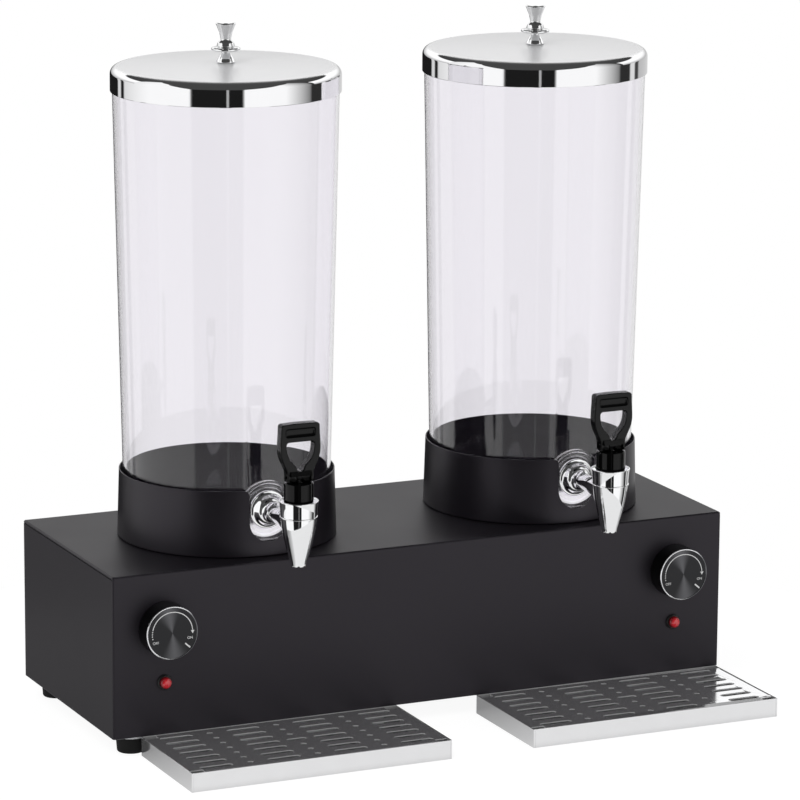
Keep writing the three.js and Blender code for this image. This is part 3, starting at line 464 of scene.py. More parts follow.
def modified(piece, kind, **settings):
    """A piece with a modifier of that kind applied."""
    only(piece)
    bpy.ops.object.modifier_add(type=kind)
    modifier = piece.modifiers[-1]
    for name, value in settings.items():
        setattr(modifier, name, value)
    bpy.ops.object.modifier_apply(modifier=modifier.name)
    return piece


def discard(piece):
    """Removes an object that was only needed on the way."""
    bpy.data.objects.remove(piece, do_unlink=True)


def combine(piece, others, operation):
    """Cuts other pieces from a piece, or joins them to it, and removes them."""
    for other in others:
        modified(piece, "BOOLEAN", operation=operation, solver="EXACT", object=other)
        discard(other)
    return piece


def carve(piece, *cutters):
    """Cuts pieces away from a piece."""
    return combine(piece, cutters, "DIFFERENCE")


def fuse(piece, *others):
    """Joins pieces to a piece."""
    return combine(piece, others, "UNION")


def soften(piece, width, segments=3, angle=40):
    """Rounds the edges that turn by more than an angle."""
    limit = math.radians(angle)
    return modified(
        piece, "BEVEL", width=width, segments=segments, limit_method="ANGLE", angle_limit=limit
    )


def smooth(piece, angle=32):
    """Smooth shading that keeps flat faces flat."""
    only(piece)
    bpy.ops.object.shade_smooth_by_angle(angle=math.radians(angle))
    return modified(piece, "WEIGHTED_NORMAL", keep_sharp=True)


def merged(name, parts):
    """Several objects as one piece."""
    only(parts[0])
    for part in parts[1:]:
        part.select_set(True)
    if len(parts) > 1:
        bpy.ops.object.join()
    return named(bpy.context.object, name)


def copied(piece, name, offset):
    """A copy of a piece with its own mesh, moved by an offset."""
    only(piece)
    bpy.ops.object.duplicate(linked=False)
    twin = named(bpy.context.object, name)
    bpy.ops.transform.translate(value=offset)
    return settle(twin)


def both(piece, kind, node):
    """The left station's piece and its copy on the right, each with its side."""
    named(piece, f"left_{kind}")
    twin = copied(piece, f"right_{kind}", to_the_right(node))
    return (("left", piece), ("right", twin))


def at_each_corner(pattern, kind, slot, material, *stands_for):
    """Copies a piece made at the front left foot to all four, and finishes the copies."""
    for corner in CORNERS:
        offset = middle("foot_" + corner) - middle("foot_front_left")
        nodes = [node + corner for node in stands_for]
        finish(copied(pattern, kind + corner, offset), "base", slot, material, *nodes)
    discard(pattern)


def finish(piece, body, slot, material, *nodes):
    """A piece's material, the body it moves with and the frame nodes that it stands for."""
    settle(piece)
    piece.data.materials.clear()
    piece.data.materials.append(material)
    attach(piece, body)
    if nodes:
        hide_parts(*nodes)
    rest()


def recoat(node, material):
    """Gives a frame node that stays a better material."""
    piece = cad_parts[node]
    for place in piece.material_slots:
        place.material = material
    if not piece.material_slots:
        piece.data.materials.append(material)


# Shader maths

class Signal:
    """A shader socket that takes part in sums, each of which adds a Math node."""

    def __init__(self, tree, socket):
        self.tree = tree
        self.socket = socket

    def math(self, operation, first, second=0.0):
        return self.tree.make("Math", {"operation": operation}, {0: first, 1: second})

    def __add__(self, other):
        return self.math("ADD", self, other)

    __radd__ = __add__

    def __mul__(self, other):
        return self.math("MULTIPLY", self, other)

    __rmul__ = __mul__

    def __sub__(self, other):
        return self.math("SUBTRACT", self, other)

    def __rsub__(self, other):
        return self.math("SUBTRACT", other, self)

    def __truediv__(self, other):
        return self.math("DIVIDE", self, other)

    def below(self, limit):
        return self.math("LESS_THAN", self, limit)

    def above(self, limit):
        return self.math("GREATER_THAN", self, limit)

    def larger(self, other):
        return self.math("MAXIMUM", self, other)

    def sine(self):
        return self.math("SINE", self)

    def __abs__(self):
        return self.math("ABSOLUTE", self)

    def fade(self, start, end):
        """From 0 at start to 1 at end, without a corner at either."""
        return self.tree.make(
            "MapRange",
            {"interpolation_type": "SMOOTHSTEP"},
            {"Value": self, "From Min": start, "From Max": end},
        )

    def out(self, name):
        """Another output of the same node."""
        return Signal(self.tree, self.socket.node.outputs[name])


class Tree:
    """The nodes of one material, or of the world."""

    def __init__(self, owner):
        owner.use_nodes = True
        self.nodes = owner.node_tree.nodes
        self.links = owner.node_tree.links
        self.nodes.clear()

    def make(self, kind, settings=None, sockets=None, output=0):
        """A node with its settings first, then the values or links of its sockets."""
        node = self.nodes.new("ShaderNode" + kind)
        for key, value in (settings or {}).items():
            if key == "stops":
                self.set_stops(node.color_ramp, value)
            else:
                setattr(node, key, value)
        for key, value in (sockets or {}).items():
            if isinstance(value, Signal):
                self.links.new(value.socket, node.inputs[key])
            else:
                node.inputs[key].default_value = value
        return Signal(self, node.outputs[output]) if node.outputs else None

    def set_stops(self, ramp, stops):
        while len(ramp.elements) > 1:
            ramp.elements.remove(ramp.elements[-1])
        ramp.elements[0].position = stops[0][0]
        ramp.elements[0].color = (*[stops[0][1]] * 3, 1)
        for position, value in stops[1:]:
            ramp.elements.new(position).color = (*[value] * 3, 1)

    def coordinates(self, centre=(0, 0, 0), scale=(1, 1, 1)):
        """The piece's own coordinates in metres, round a centre, stretched by a scale."""
        own = self.make("TexCoord", output="Object")
        offset = [-place * stretch for place, stretch in zip(centre, scale)]
        return self.make("Mapping", {}, {"Vector": own, "Location": offset, "Scale": scale})

    def split(self, vector):
        """The x, y and z of a vector."""
        x = self.make("SeparateXYZ", {}, {0: vector}, output="X")
        return x, x.out("Y"), x.out("Z")

    def dot(self, first, second):
        """How far one vector reaches along another."""
        settings = {"operation": "DOT_PRODUCT"}
        return self.make("VectorMath", settings, {0: first, 1: second}, output="Value")

    def distance(self, vector):
        """A vector's length."""
        return self.make("VectorMath", {"operation": "LENGTH"}, {0: vector}, output="Value")

    def direction(self, vector):
        """A vector with its length made 1."""
        return self.make("VectorMath", {"operation": "NORMALIZE"}, {0: vector})

    def leaning(self, outward, tilt):
        """The surface's normal, tilted outwards."""
        lean = self.make("VectorMath", {"operation": "SCALE"}, {0: outward, "Scale": tilt})
        facing = self.make("NewGeometry", output="Normal")
        return self.direction(self.make("VectorMath", {"operation": "ADD"}, {0: facing, 1: lean}))

    def noise(self, vector, scale, detail=2.0, roughness=0.5):
        sockets = {"Vector": vector, "Scale": scale, "Detail": detail, "Roughness": roughness}
        return self.make("TexNoise", {}, sockets)

    def ramp(self, value, stops):
        """A grey for each value, by stops of (value, brightness)."""
        return self.make("ValToRGB", {"stops": stops}, {"Fac": value})

    def mix(self, factor, first, second):
        """A colour between two."""
        return self.make("Mix", {"data_type": "RGBA"}, {0: factor, 6: first, 7: second}, output=2)

    def bump(self, height, distance, strength=1.0):
        return self.make("Bump", {}, {"Height": height, "Distance": distance, "Strength": strength})

    def shader(self, sockets):
        return self.make("BsdfPrincipled", {}, sockets)

    def surface(self, shader):
        self.make("OutputMaterial", {}, {"Surface": shader})


def tone(linear, factor=1.0):
    """A colour with its brightness changed, as a socket takes it."""
    return (*[min(part * factor, 1) for part in linear], 1)


def grey(value):
    """A grey, as a socket takes it."""
    return tone((value, value, value))


def new_material(name):
    """A material and its empty tree."""
    material = bpy.data.materials.new(name)
    return material, Tree(material)


def polish_lines(tree):
    """Fine lines across, as on sheet that was polished on a belt."""
    return tree.noise(tree.coordinates(scale=(0.05, 1, 1)), 900, 3, 0.6)


# Finishes

def powder_coat(name, linear, roughness, bare_below=None):
    """Fine satin grain, a little uneven, with bare metal on the cut edge underneath."""
    material, tree = new_material(name)
    place = tree.coordinates()
    grain = tree.noise(place, 2400, 3, 0.6)
    patches = tree.noise(place, 14, 3)
    base = tree.mix(patches, tone(linear, 0.85), tone(linear, 1.2))
    rough = roughness + patches * 0.06 + grain * 0.04
    sockets = {
        "Base Color": base,
        "Roughness": rough,
        "Specular IOR Level": 0.43,
        "Specular Tint": tone((0.96, 0.90, 1.0)),
        "Normal": tree.bump(grain, 0.05 * MM, 0.15),
    }
    if bare_below is not None:
        bare = tree.split(place)[2].below(bare_below)
        sockets["Base Color"] = tree.mix(bare, base, tone((0.3, 0.3, 0.31)))
        sockets["Metallic"] = bare
        sockets["Roughness"] = rough - bare * 0.2
    tree.surface(tree.shader(sockets))
    return material


def moulded(name, linear, roughness, grain_scale=1500, grain_depth=0.02, specular=0.5):
    """Moulded plastic or rubber with a fine skin."""
    material, tree = new_material(name)
    place = tree.coordinates()
    grain = tree.noise(place, grain_scale, 2)
    smudges = tree.noise(place, 60, 3)
    sockets = {
        "Base Color": tree.mix(smudges, tone(linear, 0.85), tone(linear, 1.25)),
        "Roughness": roughness - 0.04 + smudges * 0.08,
        "Specular IOR Level": specular,
        "Normal": tree.bump(grain, grain_depth * MM, 0.4),
    }
    tree.surface(tree.shader(sockets))
    return material


def bright_metal(
    name, linear, roughness, stretch=(1, 1, 1), line_scale=900, line_depth=0.004, dullness=0.0
):
    """Polished, plated or brushed metal; the stretch lays its fine lines along one direction."""
    material, tree = new_material(name)
    lines = tree.noise(tree.coordinates(scale=stretch), line_scale, 3, 0.6)
    haze = tree.noise(tree.coordinates(), 35, 4)
    sockets = {
        "Base Color": tree.mix(haze, tone(linear, 0.96), tone(linear, 1.02)),
        "Metallic": 1.0 - dullness,
        "Roughness": roughness * 0.8 + lines * roughness * 0.3 + haze * roughness * 0.2,
        "Normal": tree.bump(lines, line_depth * MM, 0.5),
    }
    tree.surface(tree.shader(sockets))
    return material


def turned_metal(name, linear, roughness, centre, pitch, depth):
    """Metal with fine turning marks round an upright axis, tilting the surface in rings."""
    material, tree = new_material(name)
    place = tree.coordinates(centre, (1, 1, 0))
    radius = tree.distance(place)
    wander = tree.noise(tree.make("CombineXYZ", {}, {0: radius}), 1900, 1)
    tilt = (radius * (2 * math.pi / pitch)).sine() * depth + (wander - 0.5) * depth
    sockets = {
        "Base Color": tree.mix(wander, tone(linear, 0.8), tone(linear, 1.2)),
        "Metallic": 0.9,
        "Roughness": roughness + wander * 0.06,
        "Normal": tree.leaning(tree.direction(place), tilt),
    }
    tree.surface(tree.shader(sockets))
    return material


def clear_plastic(name, linear):
    """Clear plastic whose shadow is light; it is a little uneven, as moulded jars are."""
    material, tree = new_material(name)
    waves = tree.noise(tree.coordinates(scale=(1, 1, 0.04)), 16, 2)
    sockets = {
        "Base Color": tree.mix(waves, tone(linear, 0.97), tone(linear, 1.03)),
        "Roughness": waves * 0.01,
        "IOR": 1.5,
        "Transmission Weight": 1.0,
        "Normal": tree.bump(waves, 0.02 * MM, 0.2),
    }
    glass = tree.shader(sockets)
    light = tree.make("BsdfTransparent", {}, {"Color": tone((0.95, 0.95, 0.96))})
    shadow_ray = tree.make("LightPath", output="Is Shadow Ray")
    tree.surface(tree.make("MixShader", {}, {0: shadow_ray, 1: glass, 2: light}))
    return material


def lamp_glass(name, linear, centre, radius):
    """A facetted red lens that glows in its middle, with painted shade that darkens it towards its
    rim.
    """
    material, tree = new_material(name)
    cells = {"Vector": tree.coordinates(), "Scale": 700}
    facets = tree.make("TexVoronoi", {}, cells, output="Distance")
    # Painted shade: the lens and its glow darken towards the rim.
    rim = tree.distance(tree.coordinates(centre, (1, 0, 1))).fade(0.5 * radius, radius)
    glow = tree.mix(facets, (*linear, 1), tone(linear, 0.7))
    sockets = {
        "Base Color": tree.mix(rim, glow, tone(linear, 0.22)),
        "Roughness": 0.08 + facets * 0.08,
        "Coat Weight": 0.8,
        "Emission Color": tree.mix(rim, glow, tone(linear, 0.1)),
        "Emission Strength": 0.25,
        "Normal": tree.bump(facets, 0.12 * MM, 0.6),
    }
    tree.surface(tree.shader(sockets))
    return material


# Where the photograph was taken from, and what stands round it

# The camera's place, its turn in radians, and its lens and sensor in millimetres
CAMERA_PLACE = (-1.5547, -3.3737, 1.0998)
CAMERA_TURN = (1.34985, -0.00622, -0.43022)
CAMERA_LENS = 204.11
CAMERA_SENSOR = 36

# Brightness round the studio as polished metal sees it, by the angle from the camera's side, in
# degrees, positive to the right: soft white panels left and right of a dark block, and dark corners
PANELS = (
    (-180, 0.012), (-133, 0.012), (-132, 0.75), (-126, 0.75), (-125, 0.012), (-120, 0.012),
    (-118, 0.80), (-80, 1.1), (-34, 1.1), (-32, 0.012), (19, 0.012), (21, 1.1), (64, 1.1),
    (94, 0.25), (97, 0.03), (112, 0.03), (114, 0.80), (121, 0.80), (123, 0.06), (129, 0.06),
    (132, 0.55), (180, 0.75),
)
# Sine of the height up to which the panels reach, by the same angle
PANEL_TOPS = (
    (-180, 0.80), (-96, 0.80), (-70, 0.70), (-50, 0.40), (-36, 0.14), (-32, 0.07), (19, 0.07),
    (24, 0.14), (45, 0.36), (64, 0.62), (94, 0.80), (180, 0.80),
)
# Beyond this angle to either side, the wall behind takes the place of the panels
WALL_FROM = 100
# A narrow strip light in the middle of the dark block: its angle, half its width and its brightness
STRIP = (4.0, 1.2, 0.45)
CEILING = 0.065
# Brightness of the wall behind, by the sine of the height
WALL = (
    (0.0, 0.50), (0.10, 0.70), (0.16, 0.90), (0.22, 1.08), (0.30, 1.2), (0.47, 1.2),
    (0.50, 0.05), (1.0, 0.08),
)
# Painted shade: the table's brightness in polished metal, from in front of the trays to behind
# them, by y
TABLE_PAINTED_SHADE = ((-0.175, 0.84), (-0.155, 0.62), (-0.04, 0.26))
# Each lamp's place and size, and the place that both are turned to
KEY_LAMP = ((-1.5, -1.0, 1.9), 1.1)
FILL_LAMP = ((1.6, -1.7, 1.5), 1.4)
LAMP_TARGET = (0, 0, 0.2)


class DISPENSER_OT_studio(Operator):
    """Makes the floor, the lights, the background and the camera"""

    bl_idname = "dispenser.studio"
    bl_label = "Studio"

    def execute(self, context):
        studio = context.scene.dispenser_studio
        self.camera(context)
        self.world(context, studio)
        self.floor(studio)
        self.lamp("key", *KEY_LAMP, studio.key_power)
        self.lamp("fill", *FILL_LAMP, studio.fill_power)
        context.scene.view_settings.view_transform = "Standard"
        return {"FINISHED"}

    def camera(self, context):
        """The photograph's view."""
        rest()
        bpy.ops.object.camera_add(location=CAMERA_PLACE, rotation=CAMERA_TURN)
        camera = context.object
        camera.name = "camera"
        camera.data.lens = CAMERA_LENS
        camera.data.sensor_width = CAMERA_SENSOR
        context.scene.camera = camera

    def lamp(self, name, place, size, watts):
        """A soft square light that shows in no reflection."""
        rest()
        bpy.ops.object.light_add(type="AREA", location=place)
        lamp = bpy.context.object
        lamp.name = name
        lamp.data.size = size
        lamp.data.energy = watts
        lamp.visible_glossy = False
        towards = Vector(LAMP_TARGET) - lamp.location
        lamp.rotation_euler = towards.to_track_quat("-Z", "Y").to_euler()

    def world(self, context, studio):
        """White in view, soft even light, and panels in what polished metal shows."""
        world = bpy.data.worlds.new("studio")
        context.scene.world = world
        tree = Tree(world)
        direction = tree.make("TexCoord", output="Generated")
        towards = (Vector(CAMERA_PLACE) * Vector((1, 1, 0))).normalized()
        along = tree.dot(direction, towards)
        right = tree.dot(direction, UPRIGHT.cross(towards))
        height = tree.split(direction)[2]
        turn = along.math("ARCTAN2", right, along) / (2 * math.pi) + 0.5
        panels = tree.ramp(turn, [(0.5 + angle / 360, value) for angle, value in PANELS])
        tops = tree.ramp(turn, [(0.5 + angle / 360, value) for angle, value in PANEL_TOPS])
        wall = tree.ramp(height, WALL)
        strip_turn, strip_half, strip_glow = STRIP
        strip = abs(turn - 0.5 - strip_turn / 360).below(strip_half / 360)
        lit = tree.mix(strip, panels, grey(strip_glow))
        behind = abs(turn - 0.5).above(WALL_FROM / 360)
        above = tree.mix(behind, grey(CEILING), wall)
        upper = height.above(tops).larger(behind * height.above(0))
        seen_in_metal = tree.mix(upper, lit, above)
        path = tree.make("LightPath", output="Is Camera Ray")
        plain = path.larger(path.out("Is Transmission Ray"))
        glossy = path.out("Is Glossy Ray") * (1 - plain)
        unseen = tree.mix(glossy, grey(studio.sky), seen_in_metal)
        shown = tree.mix(plain, unseen, grey(1))
        background = tree.make("Background", {}, {"Color": shown, "Strength": 1.0})
        tree.make("OutputWorld", {}, {"Surface": background})

    def floor(self, studio):
        """A round pale table that keeps the object's shadow."""
        rest()
        bpy.ops.mesh.primitive_circle_add(vertices=96, radius=studio.floor_radius, fill_type="NGON")
        table = named(bpy.context.object, "table")
        material, tree = new_material("pale_table")
        mottled = tree.noise(tree.coordinates(), 9, 2)
        pale = tree.mix(mottled, grey(0.86), grey(0.90))
        paper = tree.shader({"Base Color": pale, "Roughness": 0.9})
        path = tree.make("LightPath", output="Is Camera Ray")
        depth = tree.split(tree.coordinates())[1]
        # Painted shade: in reflections the table darkens behind the trays.
        painted_shade = tree.ramp(depth + 0.5, [(0.5 + y, value) for y, value in TABLE_PAINTED_SHADE])
        shown = tree.mix(path.out("Is Glossy Ray") * (1 - path), grey(1), painted_shade)
        white = tree.make("Emission", {}, {"Color": shown, "Strength": studio.table_white})
        seen = path.larger(path.out("Is Glossy Ray")).larger(path.out("Is Transmission Ray"))
        tree.surface(tree.make("MixShader", {}, {0: seen * studio.floor_glow, 1: paper, 2: white}))
        table.data.materials.append(material)


def pick(piece, kind, test):
    """Selects faces or edges by a test of their middle and their normal or line, in edit mode."""
    only(piece)
    bpy.ops.object.mode_set(mode="EDIT")
    bpy.ops.mesh.select_mode(type=kind)
    bpy.ops.mesh.select_all(action="DESELECT")
    bpy.ops.object.mode_set(mode="OBJECT")
    points = piece.data.vertices
    if kind == "FACE":
        for face in piece.data.polygons:
            face.select = test(face.center, face.normal)
    else:
        for edge in piece.data.edges:
            start, end = (points[index].co for index in edge.vertices)
            edge.select = test((start + end) / 2, end - start)
    bpy.ops.object.mode_set(mode="EDIT")


class DISPENSER_OT_housing(Operator):
    """Folds the housing from sheet and cuts what comes through it"""

    bl_idname = "dispenser.housing"
    bl_label = "Housing"

    def execute(self, context):
        sizes = context.scene.dispenser_housing
        colours = context.scene.dispenser_colours
        low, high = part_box("housing_shell")
        shell = block("housing", low, high)
        pick(shell, "FACE", lambda place, normal: normal.z < -0.5)
        bpy.ops.mesh.delete(type="FACE")
        pick(shell, "EDGE", lambda place, line: place.z > low.z + MM)
        bpy.ops.mesh.bevel(offset=sizes.fold_radius, segments=6, affect="EDGES")
        modified(shell, "SOLIDIFY", thickness=sizes.sheet, offset=-1, use_even_offset=True)
        carve(shell, *self.openings(sizes, low, high))
        smooth(shell)
        coat = powder_coat(
            "powder_coat_housing", colours.powder, roughness=0.40, bare_below=low.z + 0.2 * MM
        )
        finish(shell, "base", "powder_coat", coat, "housing_shell")
        return {"FINISHED"}

    def openings(self, sizes, low, high):
        """Cutters for the plates, bushes, lamps, the inlet and the seams of the end panels."""
        through = 4 * sizes.sheet
        for side in SIDES:
            plate = middle(side + "_jar")
            plate.z = DECK
            radius = extent(side + "_heat_plate").x / 2 - sizes.plate_reach + sizes.hole_gap
            up = UPRIGHT * through
            yield rod("plate_hole", plate - up, plate + up, radius, 128)
            for node, hole in (("_dial_knob", sizes.bush_hole), ("_lamp_lens", sizes.lamp_hole)):
                place = middle(side + node)
                place.y = PANEL
                yield rod("hole", place + FORWARD * through, place - FORWARD * through, hole)
        inlet_low, inlet_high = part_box("power_inlet")
        flange = Vector((sizes.inlet_side - FIT, 0, sizes.inlet_edge - FIT))
        inlet_low, inlet_high = inlet_low + flange, inlet_high - flange
        inlet_low.y, inlet_high.y = high.y - through, high.y + through
        yield block("inlet_hole", inlet_low, inlet_high)
        for outer, inward in ((low.x, 1), (high.x, -1)):
            left, right = sorted((outer - inward * MM, outer + inward * sizes.seam_depth))
            top = high.z - sizes.fold_radius
            yield block("seam", (left, low.y - MM, top - sizes.seam), (right, high.y + MM, top))


class DISPENSER_OT_feet(Operator):
    """Turns one rubber foot and copies it to the other corners"""

    bl_idname = "dispenser.feet"
    bl_label = "Feet"

    def execute(self, context):
        sizes = context.scene.dispenser_housing
        rubber = moulded(
            "rubber",
            context.scene.dispenser_colours.rubber,
            roughness=0.72,
            grain_scale=900,
            grain_depth=0.05,
            specular=0.35,
        )
        size = extent("foot_front_left")
        top, bottom, height = size.x / 2, size.x / 2 - sizes.foot_taper, size.z
        profile = rounded(
            [
                (sizes.foot_recess, 0, 0.4 * MM),
                (bottom, 0, sizes.foot_edge),
                (top - 0.3 * MM, height * 0.55, 0.5 * MM),
                (top, height * 0.62, 0.3 * MM),
                (top, height, 0.5 * MM),
                (sizes.foot_bore, height),
                (sizes.foot_bore, sizes.foot_recess_depth),
                (sizes.foot_recess, sizes.foot_recess_depth),
            ],
            loop=True,
        )
        foot = smooth(spun("foot", closed(profile), foot_of("foot_front_left"), steps=64))
        at_each_corner(foot, "rubber_foot_", "rubber", rubber, "foot_")
        self.washers(context, sizes, top, height)
        return {"FINISHED"}

    def washers(self, context, sizes, radius, height):
        """A plated washer above each foot."""
        outer = radius + sizes.washer_rim
        profile = rounded(
            [
                (radius * 0.5, height - sizes.washer),
                (outer, height - sizes.washer, 0.3 * MM),
                (outer, height - 0.1 * MM, 0.3 * MM),
                (radius * 0.5, height - 0.1 * MM),
            ],
            loop=True,
        )
        washer = smooth(spun("washer", closed(profile), foot_of("foot_front_left"), steps=64))
        pale = tone(context.scene.dispenser_colours.zinc, 1.75)[:3]
        zinc = bright_metal("zinc_washer", pale, roughness=0.4, dullness=0.8)
        at_each_corner(washer, "plated_washer_", "zinc_steel", zinc)


class DISPENSER_OT_collars(Operator):
    """Turns the collars and cuts the notch for each tap"""

    bl_idname = "dispenser.collars"
    bl_label = "Collars"

    def execute(self, context):
        sizes = context.scene.dispenser_housing
        black = context.scene.dispenser_colours.powder
        coat = powder_coat("powder_coat_collar", black, roughness=0.30)
        foot = foot_of("left_collar")
        radius = extent("left_collar").x / 2
        height = extent("left_collar").z
        rim = radius - sizes.collar_taper
        sheet = sizes.collar_sheet
        profile = rounded(
            [
                (radius - sizes.collar_flange, 0),
                (radius, 0, 1.2 * MM),
                (rim, height, 0.45 * MM),
                (rim - sheet, height, 0.45 * MM),
                (radius - sheet, sheet, 0.4 * MM),
                (radius - sizes.collar_flange, sheet),
            ],
            loop=True,
        )
        collar = spun("collar", closed(profile), foot, steps=160)
        carve(collar, self.notch(sizes, foot, height, radius))
        smooth(soften(collar, sizes.collar_edge, segments=2, angle=60))
        for side, piece in both(collar, "collar_ring", "collar"):
            finish(piece, "base", "powder_coat", coat, side + "_collar")
        return {"FINISHED"}

    def notch(self, sizes, foot, height, radius):
        """A cutter with a round floor and rounded upper corners."""
        half, corner = sizes.notch_half_width, sizes.notch_corner
        floor = sizes.notch_floor + DECK - foot.z
        over = height + 5 * MM
        outline = arc((0, floor + half), half, 180, 360, 32)
        outline += arc((half + corner, height - corner), corner, 180, 90, 8)
        outline += [Vector((half + corner, over)), Vector((-half - corner, over))]
        outline += arc((-half - corner, height - corner), corner, 90, 0, 8)
        return cut_out("notch", outline, foot, FORWARD, UPRIGHT, radius + 5 * MM)


class DISPENSER_OT_heat_plates(Operator):
    """Turns the heat plates"""

    bl_idname = "dispenser.heat_plates"
    bl_label = "Heat plates"

    def execute(self, context):
        sizes = context.scene.dispenser_housing
        low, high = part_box("left_heat_plate")
        reach = (high.x - low.x) / 2
        disc = reach - sizes.plate_reach
        flange_top = DECK - sizes.sheet - FIT
        underside = flange_top - sizes.plate_flange
        profile = rounded(
            [
                (0, low.z),
                (sizes.stud_radius, low.z, 0.4 * MM),
                (sizes.stud_radius, underside),
                (reach, underside, 0.5 * MM),
                (reach, flange_top, 0.5 * MM),
                (disc, flange_top),
                (disc, high.z, sizes.plate_edge),
                (0, high.z),
            ]
        )
        centre = middle("left_heat_plate")
        centre.z = 0
        plate = smooth(spun("plate", profile, centre, steps=128))
        dark = context.scene.dispenser_colours.aluminium
        for side, piece in both(plate, "warming_plate", "heat_plate"):
            metal = turned_metal(
                side + "_dark_aluminium",
                dark,
                roughness=0.38,
                centre=middle(side + "_heat_plate"),
                pitch=0.9 * MM,
                depth=0.05,
            )
            finish(piece, "base", "dark_aluminium", metal, side + "_heat_plate")
        return {"FINISHED"}


class DISPENSER_OT_jars(Operator):
    """Turns the clear jars, with their tap holes and the thick pads that carry the taps"""

    bl_idname = "dispenser.jars"
    bl_label = "Jars"

    def execute(self, context):
        sizes = context.scene.dispenser_jar
        tap = context.scene.dispenser_tap
        colours = context.scene.dispenser_colours
        rim, height = extent("left_jar").x / 2, extent("left_jar").z
        foot = foot_of("left_jar")
        profile = rounded(
            [
                (0, 0),
                (sizes.foot_radius, 0, sizes.corner),
                (rim, height, sizes.rim),
                (rim - sizes.wall, height, sizes.rim),
                (sizes.foot_radius - sizes.wall, sizes.floor, sizes.corner),
                (0, sizes.floor),
            ],
            steps=6,
        )
        jar = spun("jar", profile, foot, steps=192)
        axis = middle("left_tap_gasket")
        axis.y = foot.y
        face = axis + FORWARD * sizes.pad_face
        clear_of_wall = face + FORWARD * 10 * MM
        carve(
            jar,
            rod("facing", face, clear_of_wall, sizes.pad_radius, 96),
            rod("tap_hole", axis, clear_of_wall, tap.shank + FIT, 64),
        )
        clear = clear_plastic("clear_plastic", colours.jar)
        for side, piece in both(smooth(jar, angle=25), "clear_jar", "jar"):
            finish(piece, side + "_jar", "clear_jar", clear, side + "_jar")
        pad = smooth(spun("pad", closed(self.pad(sizes, tap)), axis, FORWARD), angle=25)
        thick = self.frosted(axis.z, sizes.pad_radius)
        for side, piece in both(pad, "tap_pad", "jar"):
            finish(piece, side + "_jar", "clear_jar", thick, side + "_jar")
        return {"FINISHED"}

    def frosted(self, height, radius):
        """Thick clear plastic, with a pale glow painted along its lower edge where light would
        gather in it.
        """
        material, tree = new_material("thick_clear_plastic")
        waves = tree.noise(tree.coordinates(scale=(1, 1, 6)), 90, 3)
        clear = {
            "Base Color": tree.mix(waves, tone((0.95, 0.95, 0.96)), tone((0.99, 0.99, 1.0))),
            "Roughness": 0.03 + waves * 0.05,
            "IOR": 1.49,
            "Transmission Weight": 1.0,
            "Normal": tree.bump(waves, 0.2 * MM, 0.5),
        }
        # Painted glow: a pale band that glows along the pad's lower edge.
        pale = tree.mix(waves, tone((0.72, 0.71, 0.74)), tone((0.98, 0.97, 1.0)))
        painted_glow = {
            "Base Color": pale,
            "Roughness": 0.25,
            "Emission Color": pale,
            "Emission Strength": 0.4,
        }
        fall = height - tree.split(tree.coordinates())[2]
        low = (fall + waves * 1.5 * MM).fade(0.48 * radius, 0.60 * radius)
        layers = {0: low * 0.9, 1: tree.shader(clear), 2: tree.shader(painted_glow)}
        tree.surface(tree.make("MixShader", {}, layers))
        return material

    def pad(self, sizes, tap):
        """The pad's section: rings that step up towards the tap, behind the gasket's seat."""
        back = sizes.pad_face - sizes.pad_thickness
        face = sizes.pad_face
        bore = tap.shank + FIT
        edge = sizes.pad_radius - 0.2 * MM
        outer_ring, inner_ring = face + 1.2 * MM, face + 0.9 * MM
        first, second, third = (sizes.pad_radius - step * sizes.pad_ring for step in (1, 1.5, 2.3))
        return rounded(
            [
                (bore, back),
                (edge, back, 0.8 * MM),
                (edge, outer_ring, 0.9 * MM),
                (first, outer_ring, 0.7 * MM),
                (first, face, 0.4 * MM),
                (second, face, 0.4 * MM),
                (second, inner_ring, 0.5 * MM),
                (third, inner_ring, 0.5 * MM),
                (third, face, 0.3 * MM),
                (bore, face),
            ],
            loop=True,
        )


